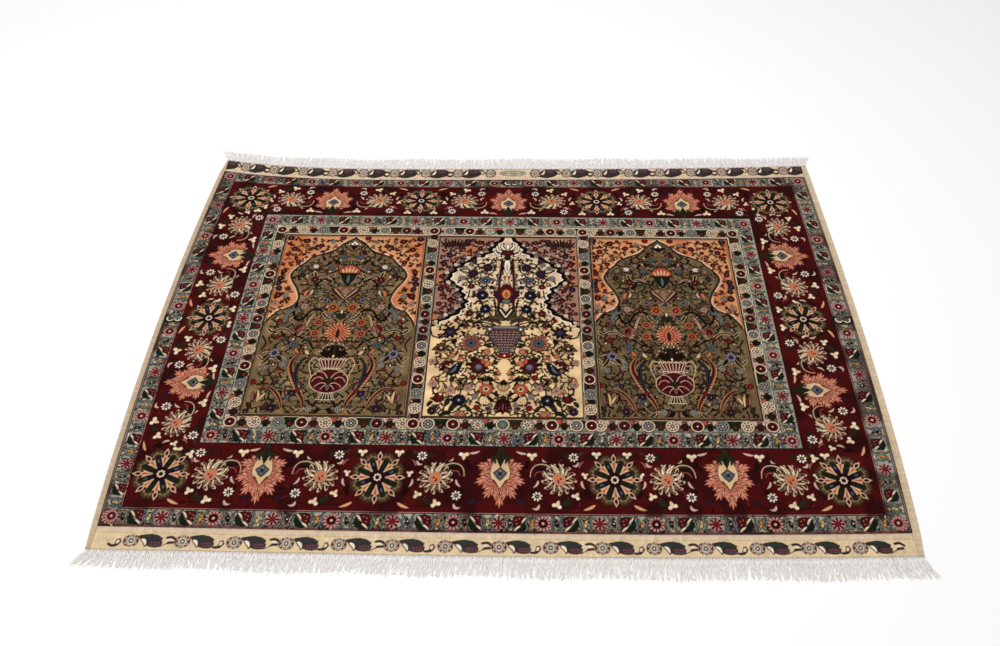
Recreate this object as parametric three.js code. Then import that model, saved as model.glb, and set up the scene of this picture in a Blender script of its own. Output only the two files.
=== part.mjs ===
// A Hereke rug, hand-knotted and laid flat: one woven cloth and the two fringes of its warp ends.
//
// The cloth is a single piece. Its knotted pile stands up in the middle, a wrapped selvedge runs down
// each side, and a thin flat-woven band closes each end. Beyond each band the warp ends are gathered
// into locks, whose knotted roots form a narrow strip along the band.
//
// Millimetres, +Z up, +X along the rug's length and +Y from its near fringe to its far one. The origin
// is on the floor under the middle of the pile.

import * as THREE from 'three';

const PILE = { length: 1500, width: 1000, height: 6, slope: 1.5 };
const END_BAND = { near: 45, far: 44, height: 2.2, lip: 0.8, lipHeight: 0.9 };
const SELVEDGE = {
  left: { width: 12, nearDrawIn: 4, farDrawIn: 8 },
  right: { width: 15.5, nearDrawIn: 5.5, farDrawIn: 2.5 },
  height: 3.2,
  lip: 1.2,
  lipHeight: 1.4,
};

// How far the woven outline strays from a true rectangle, and how far in from each edge that is felt.
// Both sides belly outwards, the near end bows out a little and the far end dips in.
const STRAY = {
  left: { most: 17.3, reach: 240 },
  right: { most: 12, reach: 240, towardsNear: 0.35 },
  near: { most: 7.5, reach: 600, towardsRight: 0.45 },
  far: { most: 24, reach: 240, towardsLeft: 0.6 },
};

// Cells between the slopes of the pile, along its length and its width.
const CELLS = { along: 40, across: 12 };

// Fringe lengths and leans at the left end, in the middle and at the right end of each fringe.
const FRINGE = {
  locks: 130,
  strip: { gap: 0.45, width: 6, height: 1.7 },
  rootShare: 0.78,
  middleShare: 0.6,
  tipWidth: 1.8,
  middleHeight: 1.9,
  tipHeight: 0.8,
  ridgeShare: 0.45,
  lengthScatter: 7,
  leanScatter: 1.6,
  clumpLean: 3.2,
  splayShare: 0.07,
};
const FRINGE_ENDS = [
  { name: 'fringe_near', outward: -1, left: 30, middle: 43, right: 41, leanLeft: -20, leanRight: 19 },
  { name: 'fringe_far', outward: 1, left: 37, middle: 44, right: 36, leanLeft: -22, leanRight: 16 },
];

const clamp = (value, low, high) => Math.min(high, Math.max(low, value));
const fade = (distance, reach, power) => Math.pow(1 - clamp(distance / reach, 0, 1), power);

// Where a point of the true rectangle lies in the woven rug. u runs along the length from the left
// pile edge, v across the width from the near pile edge.
function layOut(u, v) {
  const sideways = clamp((2 * u) / PILE.length - 1, -1, 1);
  const forwards = clamp((2 * v) / PILE.width - 1, -1, 1);
  const belly = 1 - forwards * forwards;
  const leftPull = STRAY.left.most * belly * fade(u, STRAY.left.reach, 1.25);
  const rightPush = STRAY.right.most * belly * (1 - STRAY.right.towardsNear * forwards)
    * fade(PILE.length - u, STRAY.right.reach, 1.25);
  const nearBow = STRAY.near.most * (1 - sideways ** 2) * (1 + STRAY.near.towardsRight * sideways)
    * fade(v, STRAY.near.reach, 2);
  const farDip = STRAY.far.most * (1 - sideways ** 4) * (1 - STRAY.far.towardsLeft * sideways)
    * fade(PILE.width - v, STRAY.far.reach, 2);
  return new THREE.Vector2(
    u - PILE.length / 2 - leftPull + rightPush,
    v - PILE.width / 2 - nearBow - farDip,
  );
}

// Width of a selvedge at v: full beside the pile, drawn in beside the end bands.
function selvedgeWidth(side, v) {
  const pastNear = clamp(-v / END_BAND.near, 0, 1);
  const pastFar = clamp((v - PILE.width) / END_BAND.far, 0, 1);
  return side.width - side.nearDrawIn * pastNear - side.farDrawIn * pastFar;
}

// Lines of the cloth's grid in one direction: lip, band, foot of the pile's slope, pile, and back out.
function gridLines(before, lip, size, cells, after) {
  const inner = [];
  for (let i = 0; i <= cells; i += 1) {
    inner.push(PILE.slope + ((size - 2 * PILE.slope) * i) / cells);
  }
  return [-before, lip - before, 0, ...inner, size, size + after - lip, size + after];
}

// Heights on those lines: the two outermost ones and the foot of the slope are lower than the pile.
function gridHeights(lineCount, lipHeight, bandHeight) {
  const edge = [lipHeight, bandHeight, bandHeight];
  const pile = new Array(lineCount - 2 * edge.length).fill(PILE.height);
  return [...edge, ...pile, ...[...edge].reverse()];
}

// The woven cloth: a top that steps up from the bands to the pile, over a flat underside.
function clothGeometry() {
  const acrossLines = gridLines(END_BAND.near, END_BAND.lip, PILE.width, CELLS.across, END_BAND.far);
  const rowHeights = gridHeights(acrossLines.length, END_BAND.lipHeight, END_BAND.height);
  const columnCount = CELLS.along + 7;
  const columnHeights = gridHeights(columnCount, SELVEDGE.lipHeight, SELVEDGE.height);

  const positions = [];
  const top = [];
  const bottom = [];
  acrossLines.forEach((v, row) => {
    const left = selvedgeWidth(SELVEDGE.left, v);
    const right = selvedgeWidth(SELVEDGE.right, v);
    const alongLines = gridLines(left, SELVEDGE.lip, PILE.length, CELLS.along, right);
    top.push([]);
    bottom.push([]);
    alongLines.forEach((u, column) => {
      const place = layOut(u, v);
      const height = Math.min(rowHeights[row], columnHeights[column]);
      top[row].push(positions.length / 3);
      positions.push(place.x, place.y, height);
      bottom[row].push(positions.length / 3);
      positions.push(place.x, place.y, 0);
    });
  });

  const faces = [];
  const addQuad = (a, b, c, d) => faces.push(a, b, c, a, c, d);
  const lastRow = acrossLines.length - 1;
  const lastColumn = columnCount - 1;
  for (let row = 0; row < lastRow; row += 1) {
    for (let column = 0; column < lastColumn; column += 1) {
      addQuad(top[row][column], top[row][column + 1], top[row + 1][column + 1], top[row + 1][column]);
      addQuad(bottom[row][column], bottom[row + 1][column], bottom[row + 1][column + 1],
        bottom[row][column + 1]);
    }
    addQuad(bottom[row][0], top[row][0], top[row + 1][0], bottom[row + 1][0]);
    addQuad(bottom[row][lastColumn], bottom[row + 1][lastColumn], top[row + 1][lastColumn],
      top[row][lastColumn]);
  }
  for (let column = 0; column < lastColumn; column += 1) {
    addQuad(bottom[0][column], bottom[0][column + 1], top[0][column + 1], top[0][column]);
    addQuad(bottom[lastRow][column], top[lastRow][column], top[lastRow][column + 1],
      bottom[lastRow][column + 1]);
  }
  return closedGeometry(positions, faces);
}

function closedGeometry(positions, faces) {
  const geometry = new THREE.BufferGeometry();
  geometry.setAttribute('position', new THREE.Float32BufferAttribute(positions, 3));
  geometry.setIndex(faces);
  geometry.computeVertexNormals();
  return geometry;
}

// A repeatable scatter between -0.5 and 0.5 for lock number i.
function scatter(i, kind) {
  const wave = Math.sin(i * 12.9898 + kind * 78.233) * 43758.5453;
  return wave - Math.floor(wave) - 0.5;
}

// Value at a share of the way along an end that starts at left, holds middle and finishes at right.
function alongEnd(share, left, middle, right) {
  const rise = THREE.MathUtils.smoothstep(share, 0, 0.3);
  const fall = THREE.MathUtils.smoothstep(share, 0.75, 1);
  return left + (middle - left) * rise + (right - middle) * fall;
}

// How a lock leans along the rug by the time it reaches its tip: outwards at the corners, and in
// loose clumps elsewhere.
function lockLean(end, share, i) {
  const nearLeft = fade(share, FRINGE.splayShare, 2);
  const nearRight = fade(1 - share, FRINGE.splayShare, 2);
  const clump = FRINGE.clumpLean * (Math.sin(i * 0.41) + 0.6 * Math.sin(i * 0.93 + end.outward));
  const calm = 1 - Math.max(nearLeft, nearRight);
  return end.leanLeft * nearLeft + end.leanRight * nearRight + clump * calm
    + FRINGE.leanScatter * scatter(i, 2 + end.outward);
}

// One fringe: a strip that follows the end band, whose outer face carries the locks. Each lock is a
// flat-bottomed taper of four sides, and its root is that part of the strip's outer face.
function fringeGeometry(end) {
  const bandEdge = end.outward < 0 ? -END_BAND.near : PILE.width + END_BAND.far;
  const inner = bandEdge + end.outward * FRINGE.strip.gap;
  const outer = inner + end.outward * FRINGE.strip.width;
  const start = -selvedgeWidth(SELVEDGE.left, bandEdge);
  const finish = PILE.length + selvedgeWidth(SELVEDGE.right, bandEdge);
  const pitch = (finish - start) / FRINGE.locks;
  const rootWidth = pitch * FRINGE.rootShare;

  const positions = [];
  const faces = [];
  const addPoint = (x, y, z) => positions.push(x, y, z) / 3 - 1;
  const addQuad = (a, b, c, d) => {
    if (end.outward < 0) {
      faces.push(a, b, c, a, c, d);
    } else {
      faces.push(a, c, b, a, d, c);
    }
  };

  // Stations along the strip stand at both ends of it and at both sides of every root.
  const stations = [start];
  for (let i = 0; i < FRINGE.locks; i += 1) {
    const centre = start + pitch * (i + 0.5);
    stations.push(centre - rootWidth / 2, centre + rootWidth / 2);
  }
  stations.push(finish);
  const strip = stations.map((u) => {
    const inside = layOut(u, inner);
    const outside = layOut(u, outer);
    return {
      outside,
      innerBottom: addPoint(inside.x, inside.y, 0),
      innerTop: addPoint(inside.x, inside.y, FRINGE.strip.height),
      outerBottom: addPoint(outside.x, outside.y, 0),
      outerTop: addPoint(outside.x, outside.y, FRINGE.strip.height),
    };
  });

  for (let s = 0; s + 1 < strip.length; s += 1) {
    const a = strip[s];
    const b = strip[s + 1];
    addQuad(a.outerTop, b.outerTop, b.innerTop, a.innerTop);
    addQuad(a.outerBottom, a.innerBottom, b.innerBottom, b.outerBottom);
    addQuad(a.innerBottom, a.innerTop, b.innerTop, b.innerBottom);
    if (s % 2 === 0) {
      addQuad(a.outerBottom, b.outerBottom, b.outerTop, a.outerTop);
    }
  }
  const first = strip[0];
  const last = strip[strip.length - 1];
  addQuad(first.outerBottom, first.outerTop, first.innerTop, first.innerBottom);
  addQuad(last.outerBottom, last.innerBottom, last.innerTop, last.outerTop);

  for (let i = 0; i < FRINGE.locks; i += 1) {
    const share = (i + 0.5) / FRINGE.locks;
    const leftRoot = strip[2 * i + 1];
    const rightRoot = strip[2 * i + 2];
    const root = leftRoot.outside.clone().add(rightRoot.outside).multiplyScalar(0.5);
    const length = alongEnd(share, end.left, end.middle, end.right) - FRINGE.strip.width
      + FRINGE.lengthScatter * scatter(i, 5 + end.outward);
    const lean = lockLean(end, share, i);
    const addRing = (reach, leanShare, width, height) => {
      const x = root.x + lean * leanShare;
      const y = root.y + end.outward * reach;
      const ridge = width * FRINGE.ridgeShare;
      return [
        addPoint(x - width / 2, y, 0),
        addPoint(x + width / 2, y, 0),
        addPoint(x + ridge / 2, y, height),
        addPoint(x - ridge / 2, y, height),
      ];
    };
    const rings = [
      [leftRoot.outerBottom, rightRoot.outerBottom, rightRoot.outerTop, leftRoot.outerTop],
      addRing(length * 0.5, 0.4, rootWidth * FRINGE.middleShare, FRINGE.middleHeight),
      addRing(length, 1, FRINGE.tipWidth, FRINGE.tipHeight),
    ];
    for (let r = 0; r + 1 < rings.length; r += 1) {
      for (let side = 0; side < 4; side += 1) {
        const next = (side + 1) % 4;
        addQuad(rings[r][side], rings[r][next], rings[r + 1][next], rings[r + 1][side]);
      }
    }
    const tip = rings[rings.length - 1];
    addQuad(tip[0], tip[1], tip[2], tip[3]);
  }
  return closedGeometry(positions, faces);
}

const pileMaterial = new THREE.MeshStandardMaterial({ color: '#6b2430', roughness: 0.85, metalness: 0 });
const fringeMaterial = new THREE.MeshStandardMaterial({ color: '#ebe4dc', roughness: 0.7, metalness: 0 });

const rug = new THREE.Group();

const cloth = new THREE.Mesh(clothGeometry(), pileMaterial);
cloth.name = 'rug';
rug.add(cloth);

for (const end of FRINGE_ENDS) {
  const fringe = new THREE.Mesh(fringeGeometry(end), fringeMaterial);
  fringe.name = end.name;
  rug.add(fringe);
}

export default rug;
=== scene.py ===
import copy
import math

import bpy
import numpy as np
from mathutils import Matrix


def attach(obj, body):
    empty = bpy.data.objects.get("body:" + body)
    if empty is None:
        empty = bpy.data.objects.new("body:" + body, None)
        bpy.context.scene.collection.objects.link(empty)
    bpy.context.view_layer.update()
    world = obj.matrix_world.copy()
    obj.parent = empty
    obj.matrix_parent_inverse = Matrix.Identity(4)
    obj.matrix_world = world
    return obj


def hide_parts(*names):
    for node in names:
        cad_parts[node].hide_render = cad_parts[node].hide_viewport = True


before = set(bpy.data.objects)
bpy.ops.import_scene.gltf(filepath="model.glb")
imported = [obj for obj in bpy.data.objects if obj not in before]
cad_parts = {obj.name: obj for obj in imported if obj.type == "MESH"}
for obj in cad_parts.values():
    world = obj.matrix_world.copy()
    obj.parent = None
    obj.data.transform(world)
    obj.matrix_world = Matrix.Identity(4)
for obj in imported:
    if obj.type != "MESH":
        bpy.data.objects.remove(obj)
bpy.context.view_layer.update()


# The design of the pile. A weaver ties it knot by knot from a chart, so it is charted here the same
# way: one cell for each knot, in rows across the warp. A motif is drawn from its own few sizes in
# millimetres, its place is given, and its edge is blended over one knot.

YARN = {
    "black": "#25150e", "bark": "#352014", "umber": "#5a432f", "brown": "#74583a", "tan": "#a98d68",
    "straw": "#d8bf84", "ivory": "#e6d5b6", "white": "#ece2d4", "sand": "#dcc095", "cream": "#e2c798",
    "crimson": "#6e1216", "claret": "#521216", "plum": "#3d1218", "maroon": "#6e1822", "red": "#99222c",
    "rose": "#b0666a", "pink": "#cf9a94", "coral": "#cf5c4a", "orange": "#dc8240", "amber": "#e19a45",
    "peach": "#e4ac7c", "apricot": "#d87e4a", "celadon": "#a4ab9d", "sea": "#6a807a", "sage": "#8c947a",
    "grey": "#94908a", "slate": "#626a72", "blue": "#45536a", "navy": "#232740", "lilac": "#9088a2",
    "violet": "#432c48", "pine": "#26362a", "moss": "#3f3a22", "olive": "#6b5e3a", "drab": "#5a4b30",
    "mauve": "#96655c", "dusk": "#6d4640", "line": "#4b3830", "gold": "#e0cda8", "wheat": "#e4d3b0",
    "shell": "#dccbb4", "blush": "#d8b6a6", "salmon": "#dfa072", "khaki": "#8f7953", "old rose": "#b2887a",
    "melon": "#e6a588", "terracotta": "#d5886d", "rust": "#a84f37", "fawn": "#dcb99c",
}
# Every yarn is drawn deeper than it is on the skein, the darker the more so: painted shade, standing in
# for the shade among the fibres of the knotted upright, sheared pile, and it darkens the flat-woven
# yarns as well. Light has mellowed the dyes, so that each is drawn by a share to the warm grey of its
# own lightness.
PILE_PAINTED_SHADE, MELLOWED = 1.38, 0.28
WARM_GREY = np.array([1.12, 0.97, 0.85])
for name, code in YARN.items():
    dye = np.array([(int(code[i:i + 2], 16) / 255) ** PILE_PAINTED_SHADE for i in (1, 3, 5)])
    YARN[name] = dye + MELLOWED * (dye @ [0.30, 0.59, 0.11] * WARM_GREY - dye)

PILE_LENGTH, PILE_WIDTH = 1500, 1000
KNOT = 1.0
chart = np.zeros((int(PILE_WIDTH / KNOT), int(PILE_LENGTH / KNOT), 3))


class Place:
    """The knots around one motif, with p and q as their place in the motif's own axes.

    p and q are the distances along and across the motif from its centre, after it is turned by so
    many degrees, mirrored in p where flip is -1, and enlarged by its two scales.
    """

    def __init__(self, x, y, reach, turn=0.0, along=1.0, across=1.0, flip=1):
        span = reach * max(along, across)
        rows, columns = chart.shape[:2]
        left, right = np.clip([int((x - span) / KNOT), int((x + span) / KNOT) + 1], 0, columns)
        low, high = np.clip([int((y - span) / KNOT), int((y + span) / KNOT) + 1], 0, rows)
        dx = (np.arange(left, right) + 0.5) * KNOT - x
        dy = ((np.arange(low, high) + 0.5) * KNOT - y)[:, None]
        c, s = math.cos(math.radians(turn)), math.sin(math.radians(turn))
        self.p = flip * (dx * c + dy * s) / along
        self.q = (dy * c - dx * s) / across
        self.knots = chart[low:high, left:right]
        self.scale = min(along, across) / KNOT

    def turned(self, angle):
        """The same knots, with the motif's axes turned by so many degrees."""
        other = copy.copy(self)
        c, s = math.cos(math.radians(angle)), math.sin(math.radians(angle))
        other.p, other.q = self.p * c + self.q * s, self.q * c - self.p * s
        return other

    def around(self, count, first=0.0):
        """The same knots as the nearest of `count` rays sees them, with p outwards and q to either
        side of it, so that half a petal drawn here comes in every ray."""
        ray = copy.copy(self)
        step = 2 * np.pi / count
        radius, angle = np.hypot(self.p, self.q), np.arctan2(self.q, self.p) - math.radians(first)
        angle = np.abs((angle + step / 2) % step - step / 2)
        ray.p, ray.q = radius * np.cos(angle), radius * np.sin(angle)
        return ray

    def dye(self, depth, yarn):
        """Ties yarn wherever depth, the distance outside a shape, is below nought."""
        share = np.clip(0.5 - depth * self.scale, 0, 1)[..., None]
        self.knots += (YARN[yarn] - self.knots) * share

    def edged(self, depth, yarn, edge, width=1.2):
        """Ties a shape in yarn, with an edge of another yarn around it."""
        self.dye(depth - width, edge)
        self.dye(depth, yarn)

    def disc(self, radius, x=0.0, y=0.0, tall=1.0):
        """Distance outside a circle, or an ellipse `tall` times as high as it is wide."""
        return np.hypot(self.p - x, (self.q - y) / tall) - radius

    def petals(self, count, start, finish, half_width, first=0.0, skew=1.0, sharp=0.5, twist=0.0):
        """Distance outside a ring of petals that run from radius start to radius finish.

        Each petal's half width follows (4 s (1 - s)) to the power sharp, with s the share of its
        length to the power skew: 0.5 makes it round at the ends and 1 makes it pointed. The petals
        curl by `twist` degrees for each millimetre outwards.
        """
        step = 2 * np.pi / count
        radius = np.hypot(self.p, self.q)
        angle = np.arctan2(self.q, self.p) - np.radians(first + twist * (radius - start))
        angle = (angle + step / 2) % step - step / 2
        share = (radius * np.cos(angle) - start) / (finish - start)
        inside = np.clip(share, 0, 1) ** skew
        width = half_width * (4 * inside * (1 - inside)) ** sharp
        beyond = np.maximum(np.maximum(-share, share - 1), 0) * (finish - start)
        return np.abs(radius * np.sin(angle)) - width + beyond

    def stroke(self, points, widths):
        """Distance outside a run of straight tapered strokes with these half widths at its points."""
        depth = np.full(np.broadcast(self.p, self.q).shape, 99.0)
        if np.isscalar(widths):
            widths = [widths] * len(points)
        for (x0, y0), (x1, y1), w0, w1 in zip(points, points[1:], widths, widths[1:]):
            dx, dy = x1 - x0, y1 - y0
            share = ((self.p - x0) * dx + (self.q - y0) * dy) / (dx * dx + dy * dy)
            share = np.clip(share, 0, 1)
            run = np.hypot(self.p - x0 - share * dx, self.q - y0 - share * dy)
            depth = np.minimum(depth, run - w0 - (w1 - w0) * share)
        return depth

    def leaf(self, x0, y0, x1, y1, half_width, bow=0.0):
        """Distance outside a leaf from its foot to its tip, bowed sideways by `bow` at the middle.

        With s the share of its length, its half width follows sin(pi s^0.8)^0.8, widest before the
        middle.
        """
        share = np.linspace(0, 1, 9)
        reach = math.hypot(x1 - x0, y1 - y0)
        side = bow * 4 * share * (1 - share) / reach
        xs = x0 + (x1 - x0) * share - (y1 - y0) * side
        ys = y0 + (y1 - y0) * share + (x1 - x0) * side
        widths = half_width * np.sin(np.pi * share ** 0.8) ** 0.8
        return self.stroke(list(zip(xs, ys)), list(widths))

    def curve(self, points, half_width, taper=0.0):
        """Distance outside a smooth stem through the points, thinning by `taper` towards its end."""
        path = smooth(points, 6)
        widths = half_width * (1 - taper * np.linspace(0, 1, len(path)))
        return self.stroke(path, list(widths))

    def region(self, points):
        """Distance outside a closed outline: to its nearest edge, and below nought inside it."""
        inside = np.zeros(np.broadcast(self.p, self.q).shape, bool)
        for (x0, y0), (x1, y1) in zip(points, points[1:] + points[:1]):
            crossed = (y0 > self.q) != (y1 > self.q)
            at = x0 + (self.q - y0) * (x1 - x0) / (y1 - y0 if y1 != y0 else 1e-9)
            inside ^= crossed & (self.p < at)
        edge = self.stroke(points + points[:1], 0.0)
        return np.where(inside, -edge, edge)


def smooth(points, steps):
    """Points on the Catmull-Rom curve through the given ones, `steps` to each stretch."""
    knots = [np.array(point, float) for point in points]
    knots = knots[:1] + knots + knots[-1:]
    path = []
    for a, b, c, d in zip(knots, knots[1:], knots[2:], knots[3:]):
        for t in np.arange(steps) / steps:
            path.append(tuple(0.5 * (2 * b + (c - a) * t + (2 * a - 5 * b + 4 * c - d) * t * t
                                     + (3 * b - a - 3 * c + d) * t ** 3)))
    return path + [tuple(knots[-2])]


def mirrored(half):
    """The closed outline whose right half is given from top to bottom."""
    return half + [(-x, y) for x, y in reversed(half) if x != 0]


def grain(seed, cell, amount):
    """Soft random shading over the chart, from random values on a coarse grid of that cell size."""
    rows, columns = chart.shape[:2]
    coarse = np.random.default_rng(seed).standard_normal((rows // cell + 3, columns // cell + 3))
    y, x = np.arange(rows)[:, None] / cell, np.arange(columns)[None, :] / cell
    iy, ix = y.astype(int), x.astype(int)
    fy, fx = (y - iy) ** 2 * (3 - 2 * (y - iy)), (x - ix) ** 2 * (3 - 2 * (x - ix))
    low = coarse[iy, ix] * (1 - fx) + coarse[iy, ix + 1] * fx
    high = coarse[iy + 1, ix] * (1 - fx) + coarse[iy + 1, ix + 1] * fx
    return amount * (low * (1 - fy) + high * fy)


# The bands of the borders, from the pile's edges inwards: outer guard, main border, inner guard and
# thin border, each a little unequal on the four sides, as woven.
LEFT_BANDS = {"main": (37, 146), "inner": (148, 178.5), "thin": (180, 205), "field": 208}
RIGHT_BANDS = {"main": (1331, 1457), "inner": (1297.5, 1329), "thin": (1268, 1295), "field": 1264}
NEAR_BANDS = {"main": (38, 179), "inner": (181, 213), "thin": (216, 242), "field": 246}
FAR_BANDS = {"main": (838, 961), "inner": (801, 836), "thin": (768, 798), "field": 764}


def fill(x0, y0, x1, y1, yarn):
    """Ties one yarn over a rectangle of the chart."""
    rows = slice(int(round(y0 / KNOT)), int(round(y1 / KNOT)))
    columns = slice(int(round(x0 / KNOT)), int(round(x1 / KNOT)))
    chart[rows, columns] = YARN[yarn]


def frame_fill(name, yarn, grow=0.0):
    """Ties the frame between the outer and inner lines of one band, grown by so many millimetres."""
    x0, x1 = LEFT_BANDS[name][0] - grow, RIGHT_BANDS[name][1] + grow
    y0, y1 = NEAR_BANDS[name][0] - grow, FAR_BANDS[name][1] + grow
    fill(x0, y0, x1, y1, yarn)


fill(0, 0, PILE_LENGTH, PILE_WIDTH, "celadon")
# The pile's edge rows, outermost first. The outermost is the rug's greyish violet edge line, drawn in mauve,
# lighter than it is: the pile's skirt takes this colour and stands in shade, so that row is partly painted
# light.
for inset, yarn in ((0, "mauve"), (1.8, "line"), (3.4, "grey"), (5.0, "dusk"), (6.6, "celadon")):
    fill(inset, inset, PILE_LENGTH - inset, PILE_WIDTH - inset, yarn)
frame_fill("main", "line", 4)
frame_fill("main", "pink", 2.4)
frame_fill("main", "claret", 1.2)
frame_fill("main", "crimson")
chart[:] += (YARN["plum"] - chart) * np.clip(0.9 * grain(17, 38, 1.0), 0, 0.55)[..., None]
frame_fill("inner", "plum", 2.6)
frame_fill("inner", "grey", 1.2)
frame_fill("inner", "celadon")
frame_fill("thin", "line", 2.4)
frame_fill("thin", "grey", 1.0)
frame_fill("thin", "ivory")
fill(LEFT_BANDS["field"] - 3, NEAR_BANDS["field"] - 3, RIGHT_BANDS["field"] + 3, FAR_BANDS["field"] + 3,
     "umber")
chart *= 1 + grain(3, 26, 0.045)[..., None]


# Small flowers are one ring of petals, or two, around a dark heart. Columns: petals, their yarn, the
# yarn of their edge, the radius where they start and their half width as shares of the flower's,
# then the heart's yarn and share, and the eye's yarn and share.
FLOWERS = {
    "daisy": (8, "white", "bark", 0.38, 0.19, "pine", 0.30, "ivory", 0.12),
    "guard_rosette": (12, "pink", "maroon", 0.52, 0.14, "claret", 0.54, "blush", 0.18),
    "corner_rosette": (12, "pink", "maroon", 0.52, 0.15, "maroon", 0.54, "blush", 0.20),
    "round_maroon": (8, "maroon", "black", 0.20, 0.42, "maroon", 0.46, "white", 0.17),
    "round_white": (8, "shell", "moss", 0.34, 0.20, "mauve", 0.32, "white", 0.12),
    "round_blue": (8, "grey", "navy", 0.24, 0.22, "slate", 0.36, "white", 0.15),
    "round_green": (8, "sea", "bark", 0.24, 0.26, "celadon", 0.32, "pine", 0.15),
    "blue_aster": (8, "lilac", "navy", 0.30, 0.26, "navy", 0.42, "slate", 0.14),
    "field_rose": (8, "navy", "black", 0.20, 0.34, "slate", 0.30, "white", 0.10),
    "dark_rose": (8, "violet", "black", 0.20, 0.34, "maroon", 0.34, "blue", 0.14),
    "slate_rose": (9, "slate", "black", 0.25, 0.28, "navy", 0.32, "white", 0.10),
    "red_rose": (8, "maroon", "bark", 0.20, 0.34, "claret", 0.34, "peach", 0.14),
    "coral_ring": (10, "apricot", "maroon", 0.50, 0.16, "moss", 0.46, "coral", 0.26),
    "spandrel_rose": (7, "maroon", "bark", 0.25, 0.38, "claret", 0.42, "apricot", 0.20),
    "pale_bloom": (10, "pink", "brown", 0.30, 0.17, "sage", 0.36, "slate", 0.20),
    "coral_bloom": (12, "coral", "brown", 0.35, 0.15, "straw", 0.44, "maroon", 0.24),
    "red_bud": (6, "red", "bark", 0.20, 0.40, "claret", 0.40, "coral", 0.20),
    "grey_flower": (7, "grey", "bark", 0.30, 0.30, "slate", 0.34, "white", 0.14),
    "violet_flower": (7, "violet", "bark", 0.20, 0.36, "plum", 0.40, "pink", 0.14),
    "white_cloud": (6, "white", "black", 0.20, 0.40, "white", 0.45, "amber", 0.16),
}


def flower(kind, x, y, radius, turn=0.0):
    """Ties a small round flower of one of the kinds above."""
    count, petal, edge, start, width, heart, heart_share, eye, eye_share = FLOWERS[kind]
    place = Place(x, y, radius + 3, turn)
    ring = place.petals(count, start * radius, radius, width * radius, first=90.0 / count, skew=1.2)
    place.edged(ring, petal, edge, 1.0)
    place.edged(place.disc(heart_share * radius), heart, edge, 0.7)
    place.dye(place.disc(max(eye_share * radius, 0.9)), eye)


def border_rosette(place):
    """The great rosette of the main border: a lacy olive collar, eight blunt dark petals with pale
    outlines under eight pointed, barbed cream ones, and a plum disc with a pale eye."""
    collar = place.around(8, 22.5)
    scallops = [(18, -9), (48, -9), (48, 2.4), (45.5, 4.5), (46, 8.5), (42, 10.5), (41.5, 17), (18, 17)]
    collar.edged(collar.region(scallops), "moss", "dusk", 0.9)
    collar.dye(collar.curve([(46, 0), (43.5, 3), (44, 7), (40, 9), (39, 15)], 1.1), "olive")
    collar.dye(collar.curve([(42.5, 0), (40, 3), (40, 6), (36.5, 8), (36, 12)], 0.9), "tan")
    collar.dye(collar.curve([(38, -2), (40.5, 1), (38.5, 5), (35, 6)], 0.8), "khaki")
    collar.dye(collar.disc(1.3, 40, 12), "sage")
    collar.dye(collar.disc(1.3, 43.6, 0), "mauve")
    place.dye(place.disc(31), "bark")
    for first, yarn in ((22.5, "navy"), (67.5, "pine")):
        blunt = place.around(4, first)
        blunt.edged(blunt.disc(10.5, 22, 0, 0.46), yarn, "bark", 0.9)
        blunt.dye(blunt.disc(4.0, 26, 0, 0.5), "slate" if yarn == "navy" else "moss")
    for first, yarn in ((0, "apricot"), (45, "amber")):
        petal = place.around(4, first)
        barbs = [(11, -4), (11, 0.2), (20, 2.6), (32.5, 7.6), (30.5, 3.6), (34, 2.6), (38.5, 5.0), (42, 4.2),
                 (50, 0), (50, -4)]
        petal.edged(petal.region(barbs), "fawn", "bark", 1.0)
        petal.dye(petal.region([(15, -4), (15, 0.1), (30, 2.6), (33, 0.9), (33, -4)]), yarn)
        petal.dye(petal.region([(21, -4), (21, 0.1), (31, 1.2), (31, -4)]), "rust")
        petal.dye(petal.region([(34.5, -4), (34.5, 0.4), (39.5, 3.2), (45, 0.2), (45, -4)]), "claret")
    place.edged(place.disc(12.5), "plum", "claret", 1.2)
    place.dye(np.minimum(place.disc(5.4), place.petals(8, 2, 7.4, 2.2, 0, 1.0, 0.5)), "shell")
    place.edged(place.disc(3.2), "black", "slate", 0.8)


def border_lotus(place):
    """The lotus of the main border: thin pale petals in dark outline, curled like a chrysanthemum's,
    and cream sepals around an orange heart, with a dark leaf on the side of the flame."""
    place.edged(place.leaf(12, 20, 48, 25, 8.5, 5), "bark", "black", 1.3)
    place.dye(place.leaf(18, 21, 42, 25, 2.6, 5), "moss")
    place.dye(place.curve([(14, 25), (28, 32), (44, 30), (53, 19), (55, 5)], 1.4, 0.4), "fawn")
    place.dye(place.curve([(30, 16), (42, 15), (47, 6)], 1.1, 0.4), "rose")
    bud = place.turned(58)
    place.edged(place.petals(13, 15, 34.5, 4.3, 4, 1.15, 0.6, 0.9), "fawn", "black", 1.0)
    place.dye(place.petals(13, 17, 31.8, 2.8, 4, 1.15, 0.6, 0.9), "bark")
    place.dye(place.petals(13, 19, 27, 1.1, 4, 1.15, 0.6, 0.9), "old rose")
    place.edged(place.petals(11, 7, 29, 2.3, 18, 1.2, 0.8, -1.1), "fawn", "black", 1.4)
    for tip_p, tip_q, bow, half in ((37, 3, 4, 4.2), (32, -15, -4, 3.0), (30, 18, 4, 3.0)):
        run = bud.leaf(3, 0.5 * tip_q, tip_p, tip_q, half, bow)
        bud.edged(run, "ivory", "black", 1.2)
        bud.dye(bud.leaf(12, 0.6 * tip_q, 0.8 * tip_p, 0.9 * tip_q, 0.9, bow), "khaki")
    bud.edged(bud.disc(13.5, 0, 0, 0.86), "fawn", "bark", 1.0)
    bud.edged(bud.disc(11.0, 0, 0, 0.82), "terracotta", "rust", 1.0)
    bud.dye(bud.disc(6.0, 3, 1, 0.8), "orange")
    bud.dye(bud.leaf(-7, -4, 2, -3, 1.7), "maroon")
    bud.dye(bud.disc(2.0, -1, 3.5), "maroon")


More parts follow.
